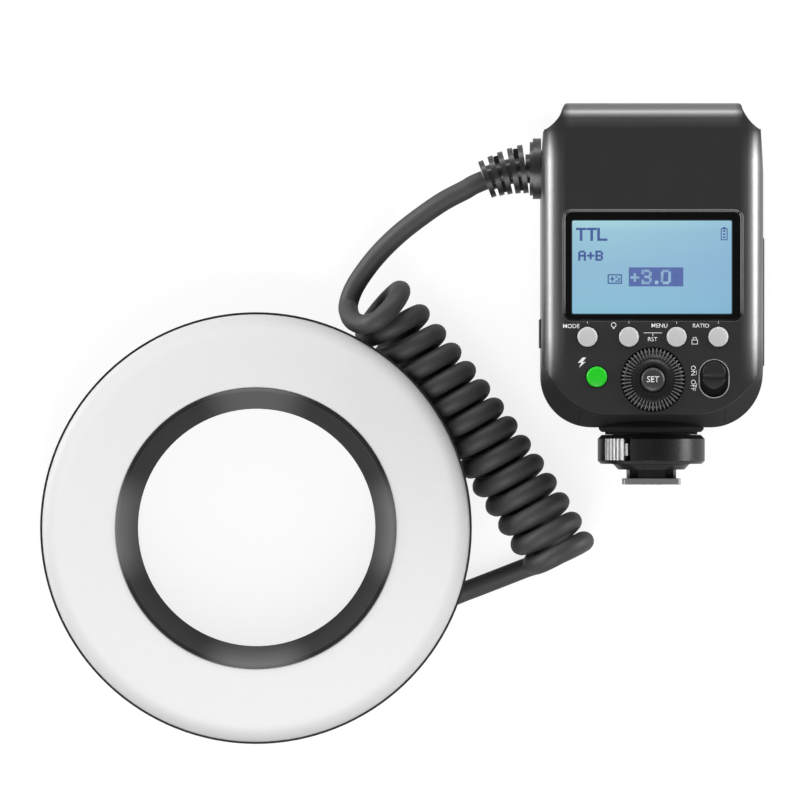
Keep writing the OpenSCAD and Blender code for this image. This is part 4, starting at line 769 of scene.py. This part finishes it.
bars("shown_battery", [[149.4, 92.6, 151.6, 92.9], [149.4, 96.1, 151.6, 96.4], [149.4, 92.9, 149.7, 96.1],
                       [151.3, 92.9, 151.6, 96.1], [150.0, 96.4, 151.0, 96.8], [150.1, 93.3, 150.9, 93.8],
                       [150.1, 94.3, 150.9, 94.8], [150.1, 95.3, 150.9, 95.8]],
     PANEL_Z, segment_ink, "flash")

# Small printed signs: ticks from the window to the keys, the reset bracket, a lock, a lamp and a flash of lightning
ticks = [[CTRL[0] + x - 0.1, 65.9, CTRL[0] + x + 0.1, 66.7] for x in FUNCTION_KEYS_X]
bracket = [[124.6, 62.8, 130.5, 62.98], [127.45, 61.9, 127.65, 62.8]]
lock = [[140.0, 59.2, 142.0, 59.4], [140.0, 60.5, 142.0, 60.7], [140.0, 59.4, 140.2, 60.5], [141.8, 59.4, 142.0, 60.5],
        [140.4, 60.7, 140.6, 61.3], [141.4, 60.7, 141.6, 61.3], [140.4, 61.3, 141.6, 61.5]]
switch_line = [[141.5, 49.4, 141.65, 50.8], [141.5, 45.4, 141.65, 46.8]]
bars("print_lines", ticks + bracket + lock + switch_line, PRINT_Z, print_ink, "flash")
PRINT_TOP = PRINT_Z + PRINT_THICK
ring_line = [[0.62, PRINT_Z], [0.85, PRINT_Z], [0.85, PRINT_TOP], [0.62, PRINT_TOP]]
verts, faces = turned(ring_line, 32, (115.0, 65.4))
piece("print_lamp", verts, faces, print_ink, "flash")
bars("print_lamp_foot", [[114.7, 64.2, 115.3, 64.5]], PRINT_Z, print_ink, "flash")
bolt = [[105.0, 55.0], [103.5, 53.2], [104.7, 53.4], [103.9, 51.7], [106.1, 53.6], [104.9, 53.4], [106.2, 55.0]]
verts, faces = stacked([bolt, bolt], [PRINT_Z, PRINT_TOP])
piece("print_bolt", verts, faces, print_ink, "flash")

# Everything else carries its finish on the CAD solid itself
left = {"reflector_upper": reflector_sheet, "reflector_lower": reflector_sheet, "flash_tube_upper": tube_quartz,
        "flash_tube_lower": tube_quartz, "ring_board": board_mask, "main_board": board_mask,
        "modelling_leds": led_phosphor, "ring_screws": screw_zinc, "case_screws": screw_zinc,
        "dial_encoder": inner_plastic, "switch_body": inner_plastic, "tact_switches": inner_plastic,
        "battery_bay": inner_plastic, "capacitor": capacitor_sleeve, "battery_contacts": contact_gold,
        "foot_contacts": contact_gold, "port_sockets": socket_nickel, "lock_pin": tab_nickel}
for name, finish in left.items():
    NODES[name].data.materials.clear()
    NODES[name].data.materials.append(finish)


# Floor and light: how far the table is lifted to white where it is looked at, and where it is mirrored
WHITE_SEEN, WHITE_MIRRORED, TABLE_HALF = 0.82, 0.45, 6


def floor_material():
    """White table: plain diffuse for the object's light, lifted to the paper's white where it is looked at and to
    about half of that in reflections."""
    made = bpy.data.materials.new("white_table")
    made.use_nodes = True
    tree = made.node_tree
    tree.nodes.clear()
    rays = add(tree, "ShaderNodeLightPath").outputs
    mirrored = add(tree, "ShaderNodeMath", {0: rays["Is Glossy Ray"], 1: rays["Is Transmission Ray"]}, operation="ADD")
    lift = add(tree, "ShaderNodeMath", {0: times(tree, rays["Is Camera Ray"], WHITE_SEEN),
                                        1: times(tree, mirrored.outputs["Value"], WHITE_MIRRORED)}, operation="ADD")
    paper = add(tree, "ShaderNodeBsdfDiffuse", {"Color": (0.25, 0.25, 0.25, 1)})
    glow = add(tree, "ShaderNodeEmission", {"Color": (1, 1, 1, 1), "Strength": lift.outputs["Value"]})
    both = add(tree, "ShaderNodeAddShader", {0: paper.outputs["BSDF"], 1: glow.outputs["Emission"]})
    add(tree, "ShaderNodeOutputMaterial", {"Surface": both.outputs["Shader"]})
    return made


table = bpy.data.meshes.new("table")
table.from_pydata(np.array([(-1, -1, 0), (1, -1, 0), (1, 1, 0), (-1, 1, 0)]) * TABLE_HALF, [], [(0, 1, 2, 3)])
table.materials.append(floor_material())
table_top = bpy.data.objects.new("table", table)
bpy.context.scene.collection.objects.link(table_top)

sky = bpy.data.worlds.new("studio")
sky.use_nodes = True
# The room is a soft tent, brightest half way up and dark at its top, where the camera looks in
heading = add(sky.node_tree, "ShaderNodeTexCoord").outputs["Generated"]
height = add(sky.node_tree, "ShaderNodeSeparateXYZ", {"Vector": heading}).outputs["Z"]
tent = add(sky.node_tree, "ShaderNodeValToRGB", {"Fac": height}).color_ramp
for place, level in ((0.1, 0.2), (0.45, 0.42), (0.7, 0.36), (0.9, 0.12)):
    tent.elements.new(place).color = (level, level, level, 1)
tent.elements[0].color, tent.elements[-1].color = (0.2, 0.2, 0.2, 1), (0.05, 0.05, 0.05, 1)
backdrop = sky.node_tree.nodes["Background"]
sky.node_tree.links.new(sky.node_tree.nodes["Color Ramp"].outputs["Color"], backdrop.inputs["Color"])
backdrop.inputs["Strength"].default_value = 1.25
bpy.context.scene.world = sky
# Long boxes low on the left, the right and beyond the top edge: they draw the bright bands along the round edges
for name, place, wide, tall, power in (("box_left", (-0.85, 0.42, 0.19), 0.76, 0.36, 9),
                                       ("box_right", (0.98, 0.42, 0.19), 0.76, 0.36, 10),
                                       ("box_beyond", (0.08, 1.0, 0.3), 1.4, 0.26, 6),
                                       ("box_near", (0.05, -1.0, 0.7), 1.6, 0.4, 10)):
    lamp = bpy.data.lights.new(name, "AREA")
    lamp.shape, lamp.size, lamp.size_y, lamp.energy = "RECTANGLE", wide, tall, power
    holder = bpy.data.objects.new(name, lamp)
    bpy.context.scene.collection.objects.link(holder)
    holder.location = place
    aim = np.array([0.06, min(place[1], 0.4), 0.02]) - np.array(place)
    holder.rotation_euler = (math.atan2(np.hypot(aim[0], aim[1]), -aim[2]), 0, math.atan2(aim[1], aim[0]) - math.pi / 2)
bpy.context.scene.view_settings.view_transform = "Standard"
